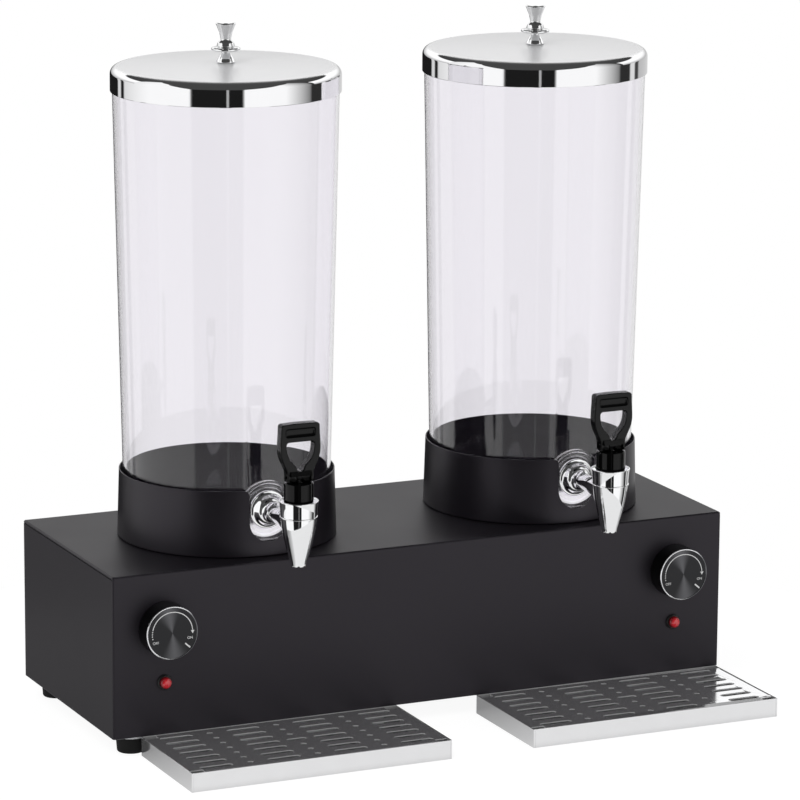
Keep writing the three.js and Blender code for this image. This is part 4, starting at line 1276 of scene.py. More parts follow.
class DISPENSER_OT_lids(Operator):
    """Turns the polished lids"""

    bl_idname = "dispenser.lids"
    bl_label = "Lids"

    def execute(self, context):
        sizes = context.scene.dispenser_jar
        low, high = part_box("left_lid")
        outer = (high.x - low.x) / 2
        sheet = sizes.lid_sheet
        inner = outer - sheet
        ledge = inner - sizes.lid_ledge
        arc_centre = outer - sizes.lid_shoulder
        top = sizes.lid_skirt + sizes.lid_shoulder
        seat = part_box("left_jar")[1].z - low.z + FIT
        dome = self.dome(arc_centre, top, sizes.knob_stud + FIT, high.z - low.z)
        cut_up, cut_in = 0.3 * MM, 0.2 * MM
        lower_edge = [(inner, cut_up), (inner + cut_in, 0), (outer - cut_in, 0), (outer, cut_up)]
        underneath = [(ledge, top - sheet), (ledge, seat), (inner, seat), (inner, cut_up)]
        profile = [Vector(point) for point in lower_edge]
        profile += arc((arc_centre, sizes.lid_skirt), sizes.lid_shoulder, 0, 84, 14)
        profile += dome
        profile += [point - Vector((0, sheet)) for point in reversed(dome)]
        profile += [Vector(point) for point in underneath]
        lid = smooth(spun("lid", profile, foot_of("left_lid"), steps=192), angle=20)
        steel = self.steel(context.scene.dispenser_colours.steel, low.z + sizes.lid_skirt)
        for side, piece in both(lid, "polished_lid", "lid"):
            finish(piece, side + "_lid", "polished_steel", steel, side + "_lid")
        return {"FINISHED"}

    def steel(self, linear, polished_to):
        """Mirror polish on the skirt and shoulder, and a satin dome."""
        material, tree = new_material("polished_lid_steel")
        place = tree.coordinates()
        satin = tree.split(place)[2].fade(polished_to + 5.4 * MM, polished_to + 6.6 * MM)
        haze = tree.noise(place, 30, 4)
        scratches = tree.noise(place, 1400, 3, 0.6)
        sockets = {
            "Base Color": tree.mix(haze, tone(linear, 0.97), tone(linear, 1.02)),
            "Metallic": 1 - satin * 0.66,
            "Roughness": 0.03 + satin * 0.24 + haze * 0.02,
            "Normal": tree.bump(scratches, 0.003 * MM, 0.4),
        }
        tree.surface(tree.shader(sockets))
        return material

    def dome(self, edge, top, hole, crown):
        """Points of the low dome from its edge to the knob's hole."""
        steps = 14
        points = []
        for step in range(steps + 1):
            radius = edge + (hole - edge) * step / steps
            fall = (radius / edge) ** 2
            points.append(Vector((radius, crown - (crown - top) * fall)))
        return points


# A lid knob's profile above its seat: radius in mm, share of its height, and rounding in mm
KNOB_PROFILE = (
    (7.2, 0, 0.3), (7.9, 0.02, 0.5), (7.4, 0.055, 0.5), (6.4, 0.11, 2), (3.5, 0.25, 1.2),
    (4.2, 0.305, 0.5), (11.0, 0.30, 0.4), (12.0, 0.315, 0.8), (12.0, 0.365, 0.8),
    (10.8, 0.38, 0.6), (6.6, 0.385, 0.5), (7.6, 0.41, 0.9), (6.7, 0.50, 2.2), (4.2, 0.57, 1.4),
    (5.3, 0.74, 8), (7.7, 0.92, 3), (8.4, 0.965, 0.5), (7.4, 0.99, 0.6), (3.5, 0.97, 1.5),
    (0, 1, 0),
)


class DISPENSER_OT_lid_knobs(Operator):
    """Turns the lids' knobs"""

    bl_idname = "dispenser.lid_knobs"
    bl_label = "Lid knobs"

    def execute(self, context):
        sizes = context.scene.dispenser_jar
        low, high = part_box("left_lid_knob")
        seat = low.z + sizes.knob_stud_length
        up = high.z - seat
        stud, end = sizes.knob_stud, -sizes.knob_stud_length
        profile = [(0, end), (stud, end), (stud, 0)]
        profile += [(radius * MM, up * part, corner * MM) for radius, part, corner in KNOB_PROFILE]
        place = foot_of("left_lid_knob")
        place.z = seat
        knob = smooth(spun("knob", rounded(profile), place, steps=64), angle=50)
        chrome = bright_metal("chrome_knob", context.scene.dispenser_colours.chrome, roughness=0.03)
        for side, piece in both(knob, "turned_lid_knob", "lid_knob"):
            finish(piece, side + "_lid", "chrome_plate", chrome, side + "_lid_knob")
        return {"FINISHED"}


class DISPENSER_OT_taps(Operator):
    """Turns the tap bodies: flange, neck and nozzle in one casting"""

    bl_idname = "dispenser.taps"
    bl_label = "Taps"

    def execute(self, context):
        sizes = context.scene.dispenser_tap
        axis = middle("left_tap_gasket")
        gasket_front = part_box("left_tap_gasket")[0].y
        nozzle = middle("left_tap_bonnet")
        nozzle.z = axis.z
        spine = self.spine(sizes, axis, gasket_front - FIT, nozzle.y)
        tap = fuse(spine, spun("nozzle", self.outside(sizes), nozzle, steps=96))
        carve(tap, spun("passage", self.passage(sizes), nozzle, steps=64))
        shank_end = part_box("left_tap_body")[1]
        carve(tap, rod("bore", (axis.x, shank_end.y + MM, axis.z), nozzle, sizes.bore, 48))
        tip = nozzle - UPRIGHT * sizes.tip_drop
        for turn in (22.5, 67.5, 112.5, 157.5):
            along = swung(sizes.tip_radius * 1.5, turn).to_3d()
            carve(tap, rod("scallop", tip - along, tip + along, sizes.scallop, 24))
        chrome = bright_metal("chrome_tap", context.scene.dispenser_colours.chrome, roughness=0.035)
        for side, piece in both(smooth(tap, angle=38), "cast_tap", "tap_body"):
            finish(piece, side + "_jar", "chrome_plate", chrome, side + "_tap_body")
        return {"FINISHED"}

    def spine(self, sizes, axis, flange_back, nozzle_y):
        """Shank, flange, boss and neck, turned round the tap's axis."""
        shank_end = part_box("left_tap_body")[1].y
        start = Vector((axis.x, shank_end, axis.z))
        back = shank_end - flange_back
        end = shank_end - nozzle_y
        front = back + sizes.flange_rim
        shank, flange, neck = sizes.shank, sizes.flange_radius, sizes.neck_radius
        profile = rounded([(0, 0), (shank, 0, 0.6 * MM), (shank, back), (flange, back, 0.4 * MM)])
        lip = 0.8 * MM
        profile += arc((flange - lip, front - lip), lip, 0, 90, 4)
        boss, boss_end = sizes.boss_radius, back + sizes.boss_reach
        profile += curve(
            profile[-1],
            (boss + 2.5 * MM, front + 0.2 * MM),
            (boss + 2.6 * MM, boss_end),
            (boss, boss_end + 0.4 * MM),
            12,
        )
        profile += curve(
            profile[-1],
            (neck, boss_end + 0.8 * MM),
            (neck * 0.9, boss_end + 3 * MM),
            (neck * 0.86, boss_end + 8 * MM),
            8,
        )
        profile += curve(
            profile[-1],
            (neck * 0.84, boss_end + 20 * MM),
            (neck, end - 24 * MM),
            (neck, end - 12 * MM),
            8,
        )
        profile += [Vector((neck, end)), Vector((0, end))]
        return spun("tap", profile, start, FORWARD, 96)

    def outside(self, sizes):
        """The nozzle from its tip up to its flared rim."""
        tip, tip_radius = -sizes.tip_drop, sizes.tip_radius
        cup, rim, top = sizes.cup_radius, sizes.rim_radius, sizes.rim_height
        ridge_foot = sizes.ridge_height - sizes.ridge / 2
        ridge_top = ridge_foot + sizes.ridge
        below_ridge = (cup - 0.3 * MM, ridge_foot)
        profile = rounded(
            [(0, tip), (tip_radius, tip, 0.4 * MM), (tip_radius + 0.25 * MM, tip + 2 * MM)]
        )
        profile += curve(
            profile[-1],
            (tip_radius + 3.6 * MM, tip + 14 * MM),
            (cup - 0.9 * MM, tip + 28 * MM),
            below_ridge,
            16,
        )
        profile += rounded(
            [
                below_ridge,
                (sizes.ridge_radius, ridge_foot + 0.15 * MM, 0.3 * MM),
                (sizes.ridge_radius, ridge_top - 0.15 * MM, 0.3 * MM),
                (cup, ridge_top),
            ]
        )[1:]
        profile += curve(
            profile[-1],
            (cup + 0.15 * MM, top - 8.4 * MM),
            (cup + 0.4 * MM, top - 4.4 * MM),
            (rim - 0.35 * MM, top - MM),
            8,
        )
        lip = 0.6 * MM
        profile += arc((rim - lip, top - lip), lip, -20, 90, 5)
        return profile + [Vector((0, top))]

    def passage(self, sizes):
        """What is hollow in the nozzle: spout, seat, chamber and the bonnet's dished socket."""
        under = -sizes.tip_drop - 1.3 * MM
        over = sizes.rim_height + 1.6 * MM
        seat, floor, mouth = -sizes.seat_drop, sizes.socket_floor, sizes.rim_height - 1.8 * MM
        chamber = sizes.seat_radius
        socket = sizes.bonnet_radius + FIT
        profile = [
            (0, under),
            (sizes.spout, under),
            (sizes.bore, seat),
            (chamber, seat),
            (chamber, floor),
            (socket, floor),
            (socket, mouth - 2 * MM),
            (sizes.rim_radius - 1.3 * MM, mouth),
            (sizes.rim_radius - 0.9 * MM, over),
            (0, over),
        ]
        return [Vector(point) for point in profile]


class DISPENSER_OT_bonnets(Operator):
    """Turns the black bonnets that close the nozzles"""

    bl_idname = "dispenser.bonnets"
    bl_label = "Bonnets"

    def execute(self, context):
        sizes = context.scene.dispenser_tap
        height = extent("left_tap_bonnet").z
        outer = sizes.bonnet_radius
        hole = sizes.stem + FIT
        profile = rounded(
            [
                (sizes.chamber, 0),
                (outer, 0, 0.5 * MM),
                (outer, height, 0.7 * MM),
                (hole, height, 0.3 * MM),
                (hole, height - sizes.bonnet_roof),
                (sizes.chamber, height - sizes.bonnet_roof),
            ],
            loop=True,
        )
        bonnet = smooth(spun("bonnet", closed(profile), foot_of("left_tap_bonnet"), steps=96))
        gloss_black = tone(context.scene.dispenser_colours.plastic, 0.3)[:3]
        gloss = moulded(
            "glossy_black_plastic",
            gloss_black,
            roughness=0.09,
            grain_scale=300,
            grain_depth=0.004,
            specular=0.2,
        )
        for side, piece in both(bonnet, "black_bonnet", "tap_bonnet"):
            finish(piece, side + "_jar", "black_plastic", gloss, side + "_tap_bonnet")
        return {"FINISHED"}


def mirrored(right, repeated):
    """An outline from its right half, closed by the mirror image of the points that repeat."""
    return closed(right + [Vector((-point.x, point.y)) for point in reversed(repeated)])


# How far a handle tilts
FULL_TILT = math.pi / 3


class DISPENSER_OT_handles(Operator):
    """Models the grip handles with their finger windows, cams and pins"""

    bl_idname = "dispenser.handles"
    bl_label = "Handles"

    def execute(self, context):
        sizes = context.scene.dispenser_tap
        pin = middle("left_handle_pin")
        foot = pin - UPRIGHT * sizes.pivot
        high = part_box("left_tap_handle")[1]
        thick = sizes.handle_thickness
        front = Vector((foot.x, foot.y - thick / 2, foot.z + FIT))
        back = front - FORWARD * thick
        height = high.z - front.z
        outline = self.outline(sizes, sizes.handle_width / 2, height)
        grip = cut_out("handle", outline, back, FORWARD, UPRIGHT, thick)
        window = self.window(sizes, height - sizes.crossbar)
        behind = back - FORWARD * MM
        carve(grip, cut_out("window", window, behind, FORWARD, UPRIGHT, thick + 2 * MM))
        soften(grip, sizes.handle_edge, segments=4, angle=50)
        self.trough(sizes, grip, front + UPRIGHT * (height - sizes.crossbar * 0.5))
        fuse(grip, self.cam(sizes, pin))
        self.slot(sizes, grip, front)
        self.fork(sizes, grip, foot)
        aside = ACROSS * 14 * MM
        carve(grip, rod("pin_hole", pin - aside, pin + aside, sizes.pin_hole, 32))
        grip_black = tone(context.scene.dispenser_colours.plastic, 0.15)[:3]
        satin = moulded(
            "satin_black_plastic", grip_black, roughness=0.17, grain_depth=0.006, specular=0.24
        )
        for side, piece in both(smooth(grip, angle=35), "grip_handle", "tap_handle"):
            finish(piece, side + "_handle", "black_plastic", satin, side + "_tap_handle")
        self.pins(context)
        return {"FINISHED"}

    def outline(self, sizes, top, height):
        """The handle from the front: foot, neck, swelling grip and arched top."""
        ankle, shoulder = sizes.handle_foot / 2, sizes.handle_top / 2
        rim = height - sizes.crown_rise
        corner = 2.2 * MM
        inner, bulge = shoulder - corner, corner * 0.45
        right = [Vector((ankle, 0.4 * MM)), Vector((ankle, height * 0.14))]
        for control_a, control_b, end, steps in (
            ((ankle, height * 0.26), (top * 0.99, height * 0.36), (top, height * 0.56), 12),
            ((top, height * 0.7), (shoulder, height * 0.8), (shoulder, rim - corner), 8),
            ((shoulder, rim - bulge), (shoulder - bulge, rim), (inner, rim + 0.3 * MM), 6),
            ((inner * 0.6, height - 0.2 * MM), (inner * 0.3, height), (0, height), 5),
        ):
            right += curve(right[-1], control_a, control_b, end, steps)
        return mirrored(right, right[:-1])

    def window(self, sizes, roof):
        """The finger window: flat at the top, drawn in to a round foot."""
        half, corner, foot = sizes.window_width / 2, 2.6 * MM, sizes.window_foot
        bulge = corner * 0.45
        centre = sizes.window_floor + foot
        right = [Vector((0, centre - foot))] + arc((0, centre), foot, -72, 0, 8)
        neck = (foot + 1.5 * MM, centre + 4 * MM)
        for control_a, control_b, end, steps in (
            (neck, (half, centre + 5 * MM), (half, roof - corner), 10),
            ((half, roof - bulge), (half - bulge, roof), (half - corner, roof), 6),
        ):
            right += curve(right[-1], control_a, control_b, end, steps)
        return mirrored(right, right[1:])

    def trough(self, sizes, grip, place):
        """Cuts the hollow for a finger along the bar."""
        half, radius = sizes.trough_length / 2, sizes.trough_radius
        axis = place + FORWARD * (radius - sizes.trough_depth)
        cutter = rod("trough", axis - ACROSS * half, axis + ACROSS * half, radius, 48)
        carve(grip, soften(cutter, radius * 0.5, segments=4, angle=50))

    def slot(self, sizes, grip, front):
        """Cuts the long slot in the front of the foot."""
        x, y, corner = sizes.slot_width / 2, sizes.slot_height / 2, 1.2 * MM
        corners = [(-x, -y, corner), (x, -y, corner), (x, y, corner), (-x, y, corner)]
        outline = rounded(corners, loop=True)
        depth = sizes.slot_depth
        start = front + UPRIGHT * sizes.slot_rise - FORWARD * depth
        carve(grip, cut_out("slot", closed(outline), start, FORWARD, UPRIGHT, depth + 4 * MM))

    def fork(self, sizes, grip, foot):
        """Cuts the slot that lets the cam straddle the stem, higher at the back for the turn."""
        half = sizes.stem + FIT
        beyond = 20 * MM
        for in_front, top in ((beyond, sizes.fork_front), (sizes.fork_step, sizes.fork_back)):
            low = foot + Vector((-half, -in_front, -MM))
            carve(grip, block("fork", low, foot + Vector((half, beyond, top))))

    def cam(self, sizes, pin):
        """The cam, from the side, with a face that lifts in proportion to the turn."""
        lift = sizes.cam_lead / (2 * math.pi)
        half = sizes.cam_thickness / 2
        start = sizes.pivot - FIT
        points = [Vector((half, 0)), Vector((half, sizes.pivot)), Vector((-half, sizes.pivot))]
        steps = 8
        for step in range(steps, -1, -1):
            turn = FULL_TILT * step / steps
            sine, cosine = math.sin(turn), math.cos(turn)
            reach = start + lift * turn
            points.append(Vector((-reach * sine - lift * cosine, -reach * cosine + lift * sine)))
        points.append(Vector((lift, -start)))
        side = pin - ACROSS * sizes.cam_width / 2
        return cut_out("cam", closed(points), side, ACROSS, UPRIGHT, sizes.cam_width)

    def pins(self, context):
        """Turns the pins that the handles tilt on."""
        low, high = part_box("left_handle_pin")
        start, end = middle("left_handle_pin"), middle("left_handle_pin")
        start.x, end.x = low.x, high.x
        pin = rod("pin", start, end, (high.z - low.z) / 2, 32)
        soften(pin, 0.3 * MM, segments=2, angle=50)
        zinc = bright_metal("zinc_pin", context.scene.dispenser_colours.zinc, roughness=0.3)
        for side, piece in both(smooth(pin), "cross_pin", "handle_pin"):
            finish(piece, side + "_handle", "zinc_steel", zinc, side + "_handle_pin")


# The dial's print, by angles in degrees from the right towards the top: the two ends of the
# scale's arc, the dots, the words and the index line
ARC_TURNS = (168, 4)
DOT_TURNS = (172, 178, 184, 191)
WORD_TURNS = {"OFF": 206, "ON": -19}
INDEX_TURN = -41
# Corners in mm: the arrowhead from the end of the arc, and the index line before its turn
ARROWHEAD = ((-1.6, 0.9), (0, -1.9), (1.6, 0.9))
INDEX_BAR = ((14.6, -0.6), (20.4, -0.6), (20.4, 0.6), (14.6, 0.6))
# How far the painted fans of light on the face lean from upright, above and below its middle
PAINTED_FAN_LEANS = (0.18, -0.10)


class DISPENSER_OT_dials(Operator):
    """Turns the dials and prints their scales"""

    bl_idname = "dispenser.dials"
    bl_label = "Dials"

    def execute(self, context):
        sizes = context.scene.dispenser_controls
        colours = context.scene.dispenser_colours
        low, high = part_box("left_dial_knob")
        radius = (high.x - low.x) / 2
        depth = high.y - low.y
        back = middle("left_dial_knob")
        back.y = high.y
        rim_inner = radius - sizes.rim_width
        face_radius = rim_inner - sizes.face_depth
        profile = rounded(
            [
                (0, sizes.shaft_depth),
                (sizes.shaft, sizes.shaft_depth),
                (sizes.shaft, sizes.bush_pocket_depth),
                (sizes.bush_pocket, sizes.bush_pocket_depth),
                (sizes.bush_pocket, 0),
                (radius, 0, 0.4 * MM),
                (radius, depth, 0.9 * MM),
                (rim_inner, depth, 0.25 * MM),
                (face_radius, depth - sizes.face_depth, 0.2 * MM),
                (0, depth - sizes.face_depth),
            ],
            steps=3,
        )
        knob = spun("dial", profile, back, FORWARD, 128)
        for side, piece in both(smooth(knob, angle=25), "turned_dial", "dial_knob"):
            centre = middle(side + "_dial_knob")
            centre.y = low.y
            skin = self.spun_face(side + "_spun_black", colours.spun, centre, radius, face_radius)
            finish(piece, side + "_dial", "spun_black", skin, side + "_dial_knob")
        centre = middle("left_dial_knob")
        centre.y = low.y + sizes.face_depth - sizes.ink
        white = moulded("white_print", colours.ink, roughness=0.5)
        for side, piece in both(self.scale(sizes, centre), "dial_print", "dial_knob"):
            finish(piece, side + "_dial", "spun_black", white)
        return {"FINISHED"}

    def spun_face(self, name, linear, centre, radius, face_radius):
        """Turning marks that tilt the face, with painted fans of light on it, and a cut rim round
        it with a painted reflection.
        """
        material, tree = new_material(name)
        x, y, z = tree.split(tree.coordinates(centre))
        flat = tree.make("CombineXYZ", {}, {0: x, 2: z})
        distance = tree.distance(flat)
        marks = tree.noise(tree.make("CombineXYZ", {}, {0: distance}), 5000, 2)
        on_rim = distance.above(face_radius + 0.1 * MM) * distance.below(radius - 0.05 * MM)
        off_centre = distance.larger(0.1 * MM)
        across, up = x / off_centre, z / off_centre
        # Painted highlight: pale fans of light above and below the face's middle.
        painted_fan_above, painted_fan_below = (1 - abs(across + lean).fade(0, 0.62) for lean in PAINTED_FAN_LEANS)
        painted_fans = (painted_fan_above * z.above(0) + painted_fan_below * z.below(0)) * (1 - on_rim)
        bright = on_rim * y.below(2 * MM)
        dark = tree.mix(marks, tone(linear, 0.5), tone(linear, 1.2))
        pale = tree.mix(marks, tone(linear, 1.6), tone(linear, 4.6))
        # Painted reflection on the front of the cut rim: bright at the left and top, dark at the
        # right and bottom.
        rim_shaded_side = (across - up * 0.35).fade(-0.05, 0.75)
        cut = tree.mix(rim_shaded_side, tone((0.95, 0.95, 0.97)), tone((0.16, 0.16, 0.17)))
        tilt = (marks - 0.5) * 0.9 * (1 - on_rim)
        sockets = {
            "Base Color": tree.mix(bright, tree.mix(painted_fans, dark, pale), cut),
            "Metallic": 0.95,
            "Roughness": 0.3 - bright * 0.12,
            "Normal": tree.leaning(tree.direction(flat), tilt),
        }
        tree.surface(tree.shader(sockets))
        return material

    def scale(self, sizes, centre):
        """The printed scale: an arc with an arrowhead, dots, OFF, ON and the index line."""
        radius, half = sizes.scale_radius, sizes.scale_width / 2
        start, end = ARC_TURNS
        band = arc((0, 0), radius + half, start, end, 48)
        band += arc((0, 0), radius - half, end, start, 48)
        head = [Vector((radius + across * MM, up * MM)) for across, up in ARROWHEAD]
        index = Matrix.Rotation(math.radians(INDEX_TURN), 2)
        bar = [index @ Vector(point) * MM for point in INDEX_BAR]
        dots = [arc(swung(radius, turn), 0.5 * MM, 0, 350, 9) for turn in DOT_TURNS]
        parts = [
            cut_out("mark", closed(mark), centre, FORWARD, UPRIGHT, sizes.ink)
            for mark in (band, head, bar, *dots)
        ]
        for word, turn in WORD_TURNS.items():
            place = swung(sizes.word_radius, turn)
            parts.append(self.word(word, centre + ACROSS * place.x + UPRIGHT * place.y, sizes))
        return merged("print", parts)

    def word(self, text, place, sizes):
        """Letters as a thin mesh that faces the front."""
        rest()
        bpy.ops.object.text_add()
        letters = bpy.context.object
        letters.data.body = text
        letters.data.size = sizes.text_height
        letters.data.extrude = sizes.ink / 2
        letters.data.align_x = "CENTER"
        letters.data.align_y = "CENTER"
        only(letters)
        bpy.ops.object.convert(target="MESH")
        letters = bpy.context.object
        letters.rotation_euler = (math.pi / 2, 0, 0)
        letters.location = place + FORWARD * sizes.ink / 2
        return settle(letters)


class DISPENSER_OT_lamps(Operator):
    """Turns the indicator lamps' red lenses"""

    bl_idname = "dispenser.lamps"
    bl_label = "Lamps"

    def execute(self, context):
        sizes = context.scene.dispenser_controls
        low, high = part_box("left_lamp_lens")
        seat = middle("left_lamp_lens")
        seat.y = high.y
        shoulder = sizes.socket_depth
        edge = shoulder + sizes.lens_edge
        profile = rounded(
            [
                (0, 0),
                (sizes.socket, 0, 0.4 * MM),
                (sizes.socket, shoulder),
                (sizes.lens, shoulder),
                (sizes.lens, edge),
            ]
        )
        dome = high.y - low.y - edge
        for point in arc((0, 0), 1, 0, 90, 10)[1:]:
            profile.append(Vector((sizes.lens * point.x, edge + dome * point.y)))
        profile[-1].x = 0
        lens = smooth(spun("lens", profile, seat, FORWARD, 48))
        linear = context.scene.dispenser_colours.lamp
        for side, piece in both(lens, "domed_lens", "lamp_lens"):
            red = lamp_glass(side + "_red_lens", linear, middle(side + "_lamp_lens"), sizes.lens)
            finish(piece, "base", "red_lens", red, side + "_lamp_lens")
        return {"FINISHED"}


class DISPENSER_OT_drip_pans(Operator):
    """Draws the drip pans from sheet"""

    bl_idname = "dispenser.drip_pans"
    bl_label = "Drip pans"

    def execute(self, context):
        sizes = context.scene.dispenser_tray
        low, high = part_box("left_drip_pan")
        pan = block("pan", low, high)
        pick(pan, "FACE", lambda place, normal: normal.z > 0.5)
        bpy.ops.mesh.inset(thickness=sizes.sheet)
        down = UPRIGHT * (low.z + sizes.sheet - high.z)
        bpy.ops.mesh.extrude_region_move(TRANSFORM_OT_translate={"value": down})
        bpy.ops.object.mode_set(mode="OBJECT")
        soften(pan, sizes.pan_edge, angle=60)
        seam = sizes.pan_seam
        for left in (low.x + 4 * seam, high.x - 5 * seam):
            right, back = left + seam, low.y + seam
            carve(pan, block("seam", (left, low.y - MM, low.z - MM), (right, back, high.z + MM)))
        smooth(pan)
        for side, piece in both(pan, "polished_pan", "drip_pan"):
            steel = self.steel(side, context.scene.dispenser_colours.steel, sizes)
            finish(piece, side + "_tray", "polished_steel", steel, side + "_drip_pan")
        return {"FINISHED"}

    def steel(self, side, linear, sizes):
        """Polished outside and dull inside, with painted shade that darkens the inside."""
        low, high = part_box(side + "_drip_pan")
        centre = (low + high) / 2
        half = (high - low) / 2
        material, tree = new_material(side + "_pan_steel")
        place = tree.coordinates(centre)
        x, y, z = tree.split(place)
        skin = sizes.sheet / 2
        # Painted shade: the inside, and the inner half of the rear rim, are darker; the inside is
        # also duller.
        inside = abs(x).below(half.x - skin) * abs(y).below(half.y - skin)
        below_rim = z.below(half.z - 0.7 * MM).larger(y.above(0))
        inside = inside * below_rim * z.above(skin - half.z)
        lines = polish_lines(tree)
        haze = tree.noise(place, 35, 4)
        bright = tree.mix(haze, tone(linear, 0.96), tone(linear, 1.02))
        sockets = {
            "Base Color": tree.mix(inside, bright, tone(linear, 0.45)),
            "Metallic": 0.9 - inside * 0.5,
            "Roughness": 0.07 + lines * 0.03 + haze * 0.02 + inside * 0.25,
            "Normal": tree.bump(lines, 0.004 * MM, 0.5),
        }
        tree.surface(tree.shader(sockets))
        return material


# A cover's pattern of slots, and the share of the gap between two slots that its finger hole takes
SLOT_COLUMNS, SLOT_ROWS = 4, 7
FINGER_SHARE = 0.575


def spread(count, pitch):
    """Places at a pitch, on both sides of nought."""
    return [(index - (count - 1) / 2) * pitch for index in range(count)]


class DISPENSER_OT_drip_covers(Operator):
    """Folds the slotted covers and punches their slots"""

    bl_idname = "dispenser.drip_covers"
    bl_label = "Drip covers"

    def execute(self, context):
        sizes = context.scene.dispenser_tray
        low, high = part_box("left_drip_grate")
        pan_low, pan_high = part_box("left_drip_pan")
        inset = sizes.sheet + sizes.cover_gap
        low = Vector((pan_low.x + inset, pan_low.y + inset, low.z))
        high = Vector((pan_high.x - inset, pan_high.y - inset, high.z))
        sheet, notch, cut = sizes.sheet, sizes.corner_notch, sizes.notch_cut
        centre = (low + high) / 2
        x, y = (high.x - low.x) / 2, (high.y - low.y) / 2
        near_x, near_y = x - notch, y - cut
        right = [(near_x, -y), (near_x, -near_y), (x, -near_y)]
        right += [(x, near_y), (near_x, near_y), (near_x, y)]
        plan = [Vector(point) for point in right + [(-a, -b) for a, b in right]]
        start = Vector((centre.x, centre.y, high.z - sheet))
        cover = cut_out("cover", closed(plan), start, UPRIGHT, -FORWARD, sheet)
        left_end, right_end = low.x + notch, high.x - notch
        for front in (low.y, high.y - sheet):
            fuse(cover, block("leg", (left_end, front, low.z), (right_end, front + sheet, high.z)))
        front_end, back_end = low.y + notch, high.y - notch
        for left in (low.x, high.x - sheet):
            fuse(cover, block("leg", (left, front_end, low.z), (left + sheet, back_end, high.z)))
        self.round_bends(cover, sizes, low, high)
        carve(cover, self.slots(sizes, low, high))
        smooth(soften(cover, sizes.slot_edge, segments=2, angle=60))
        steel = self.steel(context.scene.dispenser_colours.steel, high.z - 0.3 * MM)
        for side, piece in both(cover, "slotted_cover", "drip_grate"):
            finish(piece, side + "_grate", "polished_steel", steel, side + "_drip_grate")
        return {"FINISHED"}

    def steel(self, linear, polished_above):
        """Polished on top, and pale and satin on the punched edges and underneath."""
        material, tree = new_material("polished_cover_steel")
        place = tree.coordinates()
        edge = tree.split(place)[2].below(polished_above)
        lines = polish_lines(tree)
        haze = tree.noise(place, 35, 4)
        sockets = {
            "Base Color": tree.mix(haze, tone(linear, 0.96), tone(linear, 1.02)),
            "Metallic": 0.89 - edge * 0.6,
            "Roughness": 0.09 + lines * 0.04 + haze * 0.03 + edge * 0.25,
            "Normal": tree.bump(lines, 0.004 * MM, 0.5),
        }
        tree.surface(tree.shader(sockets))
        return material

    def round_bends(self, cover, sizes, low, high):
        """Rounds the edges where the sheet turns down."""

        def on_bend(place, line):
            to_side = min(place.x - low.x, high.x - place.x, place.y - low.y, high.y - place.y)
            on_top_edge = place.z > high.z - MM / 10 and to_side < MM / 10
            return on_top_edge and line.length > 5 * sizes.corner_notch

        pick(cover, "EDGE", on_bend)
        bpy.ops.mesh.bevel(offset=sizes.cover_edge, segments=4, affect="EDGES")
        bpy.ops.object.mode_set(mode="OBJECT")

    def slots(self, sizes, low, high):
        """One cutter with every slot and hole of the cover."""
        width, depth = high.x - low.x, high.y - low.y
        pitch = (width - 2 * sizes.column_margin - sizes.slot_length) / (SLOT_COLUMNS - 1)
        row_pitch = (depth - 2 * sizes.row_margin - sizes.slot_width) / (SLOT_ROWS - 1)
        centre = (low + high) / 2
        centre.z = high.z - 2 * sizes.sheet
        through = 3 * sizes.sheet
        slot = self.slot_cutter(sizes.slot_length, sizes.slot_width, centre, through)
        hole = self.slot_cutter(sizes.hole, sizes.hole, centre, through)
        finger_length = (pitch - sizes.slot_length) * FINGER_SHARE
        finger = self.slot_cutter(finger_length, sizes.slot_width, centre, through)
        parts = []
        for up in spread(SLOT_ROWS, row_pitch):
            for across in spread(SLOT_COLUMNS, pitch):
                parts.append(copied(slot, "slot", Vector((across, up, 0))))
            for across in spread(SLOT_COLUMNS - 1, pitch):
                if across or up:
                    parts.append(copied(hole, "hole", Vector((across, up, 0))))
        discard(slot)
        discard(hole)
        return merged("slots", parts + [finger])

    def slot_cutter(self, reach, width, centre, depth):
        """A long hole with round ends, or a round one where it reaches as far as its width."""
        half, radius = (reach - width) / 2, width / 2
        outline = arc((half, 0), radius, -90, 90, 10) + arc((-half, 0), radius, 90, 270, 10)
        if half == 0:
            outline = arc((0, 0), radius, 0, 345, 23)
        return cut_out("slot", closed(outline), centre, UPRIGHT, -FORWARD, depth)


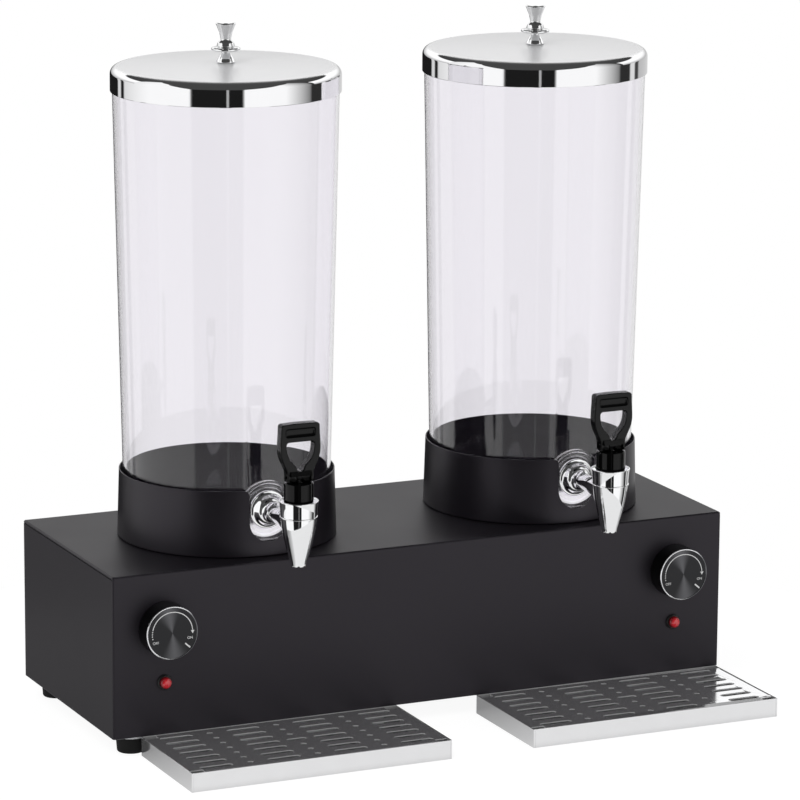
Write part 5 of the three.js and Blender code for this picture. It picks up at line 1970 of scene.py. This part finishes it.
class DISPENSER_OT_hidden_parts(Operator):
    """Finishes the frame's inner parts, which stay as they are"""

    bl_idname = "dispenser.hidden_parts"
    bl_label = "Hidden parts"

    def execute(self, context):
        colours = context.scene.dispenser_colours
        zinc = bright_metal(
            "zinc_plate",
            colours.zinc,
            roughness=0.34,
            stretch=(0.1, 1, 1),
            line_scale=700,
            line_depth=0.01,
        )
        brass = bright_metal("turned_brass", colours.brass, roughness=0.28)
        plastic = moulded("inner_black_plastic", colours.plastic, roughness=0.42)
        silicone = moulded(
            "white_silicone", colours.silicone, roughness=0.55, grain_scale=800, specular=0.4
        )
        at_each_station = {
            zinc: ("element_clamp", "heating_element", "lid_knob_nut"),
            plastic: ("lamp_body", "thermostat", "tap_nut"),
            brass: ("control_shaft",),
            self.stem(colours): ("tap_stem",),
            silicone: ("seat_cup", "tap_gasket"),
        }
        for material, kinds in at_each_station.items():
            for kind in kinds:
                for side in SIDES:
                    recoat(f"{side}_{kind}", material)
        for corner in CORNERS:
            recoat("foot_screw_" + corner, zinc)
        recoat("base_pan", zinc)
        recoat("power_inlet", plastic)
        recoat("terminal_block", plastic)
        return {"FINISHED"}

    def stem(self, colours):
        """Turned brass, black from just under the bonnet's top upwards."""
        material, tree = new_material("stem_brass")
        place = tree.coordinates()
        black = tree.split(place)[2].above(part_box("left_tap_bonnet")[1].z - MM)
        marks = tree.noise(place, 900, 3)
        brass = tree.mix(marks, tone(colours.brass, 0.9), tone(colours.brass, 1.1))
        sockets = {
            "Base Color": tree.mix(black, brass, tone(colours.plastic, 0.5)),
            "Metallic": 1 - black,
            "Roughness": 0.24 + marks * 0.08 + black * 0.1,
        }
        tree.surface(tree.shader(sockets))
        return material


OPERATORS = (
    DISPENSER_OT_studio,
    DISPENSER_OT_housing,
    DISPENSER_OT_feet,
    DISPENSER_OT_collars,
    DISPENSER_OT_heat_plates,
    DISPENSER_OT_jars,
    DISPENSER_OT_lids,
    DISPENSER_OT_lid_knobs,
    DISPENSER_OT_taps,
    DISPENSER_OT_bonnets,
    DISPENSER_OT_handles,
    DISPENSER_OT_dials,
    DISPENSER_OT_lamps,
    DISPENSER_OT_drip_pans,
    DISPENSER_OT_drip_covers,
    DISPENSER_OT_hidden_parts,
)


class DISPENSER_PT_pieces(Panel):
    """Lists the dispenser's operators and their sizes"""

    bl_idname = "DISPENSER_PT_pieces"
    bl_label = "Beverage dispenser"
    bl_space_type = "VIEW_3D"
    bl_region_type = "UI"
    bl_category = "Dispenser"

    def draw(self, context):
        for operator in OPERATORS:
            self.layout.operator(operator.bl_idname)
        for attribute in SIZE_GROUPS:
            box = self.layout.box()
            group = getattr(context.scene, attribute)
            for name in group.__annotations__:
                box.prop(group, name)


def register():
    for group in SIZE_GROUPS.values():
        bpy.utils.register_class(group)
    for operator in OPERATORS:
        bpy.utils.register_class(operator)
    bpy.utils.register_class(DISPENSER_PT_pieces)
    for attribute, group in SIZE_GROUPS.items():
        setattr(bpy.types.Scene, attribute, PointerProperty(type=group))


def unregister():
    for attribute in SIZE_GROUPS:
        delattr(bpy.types.Scene, attribute)
    bpy.utils.unregister_class(DISPENSER_PT_pieces)
    for operator in reversed(OPERATORS):
        bpy.utils.unregister_class(operator)
    for group in reversed(SIZE_GROUPS.values()):
        bpy.utils.unregister_class(group)


def main():
    register()
    for operator in OPERATORS:
        category, name = operator.bl_idname.split(".")
        getattr(getattr(bpy.ops, category), name)()


if __name__ == "__main__":
    main()
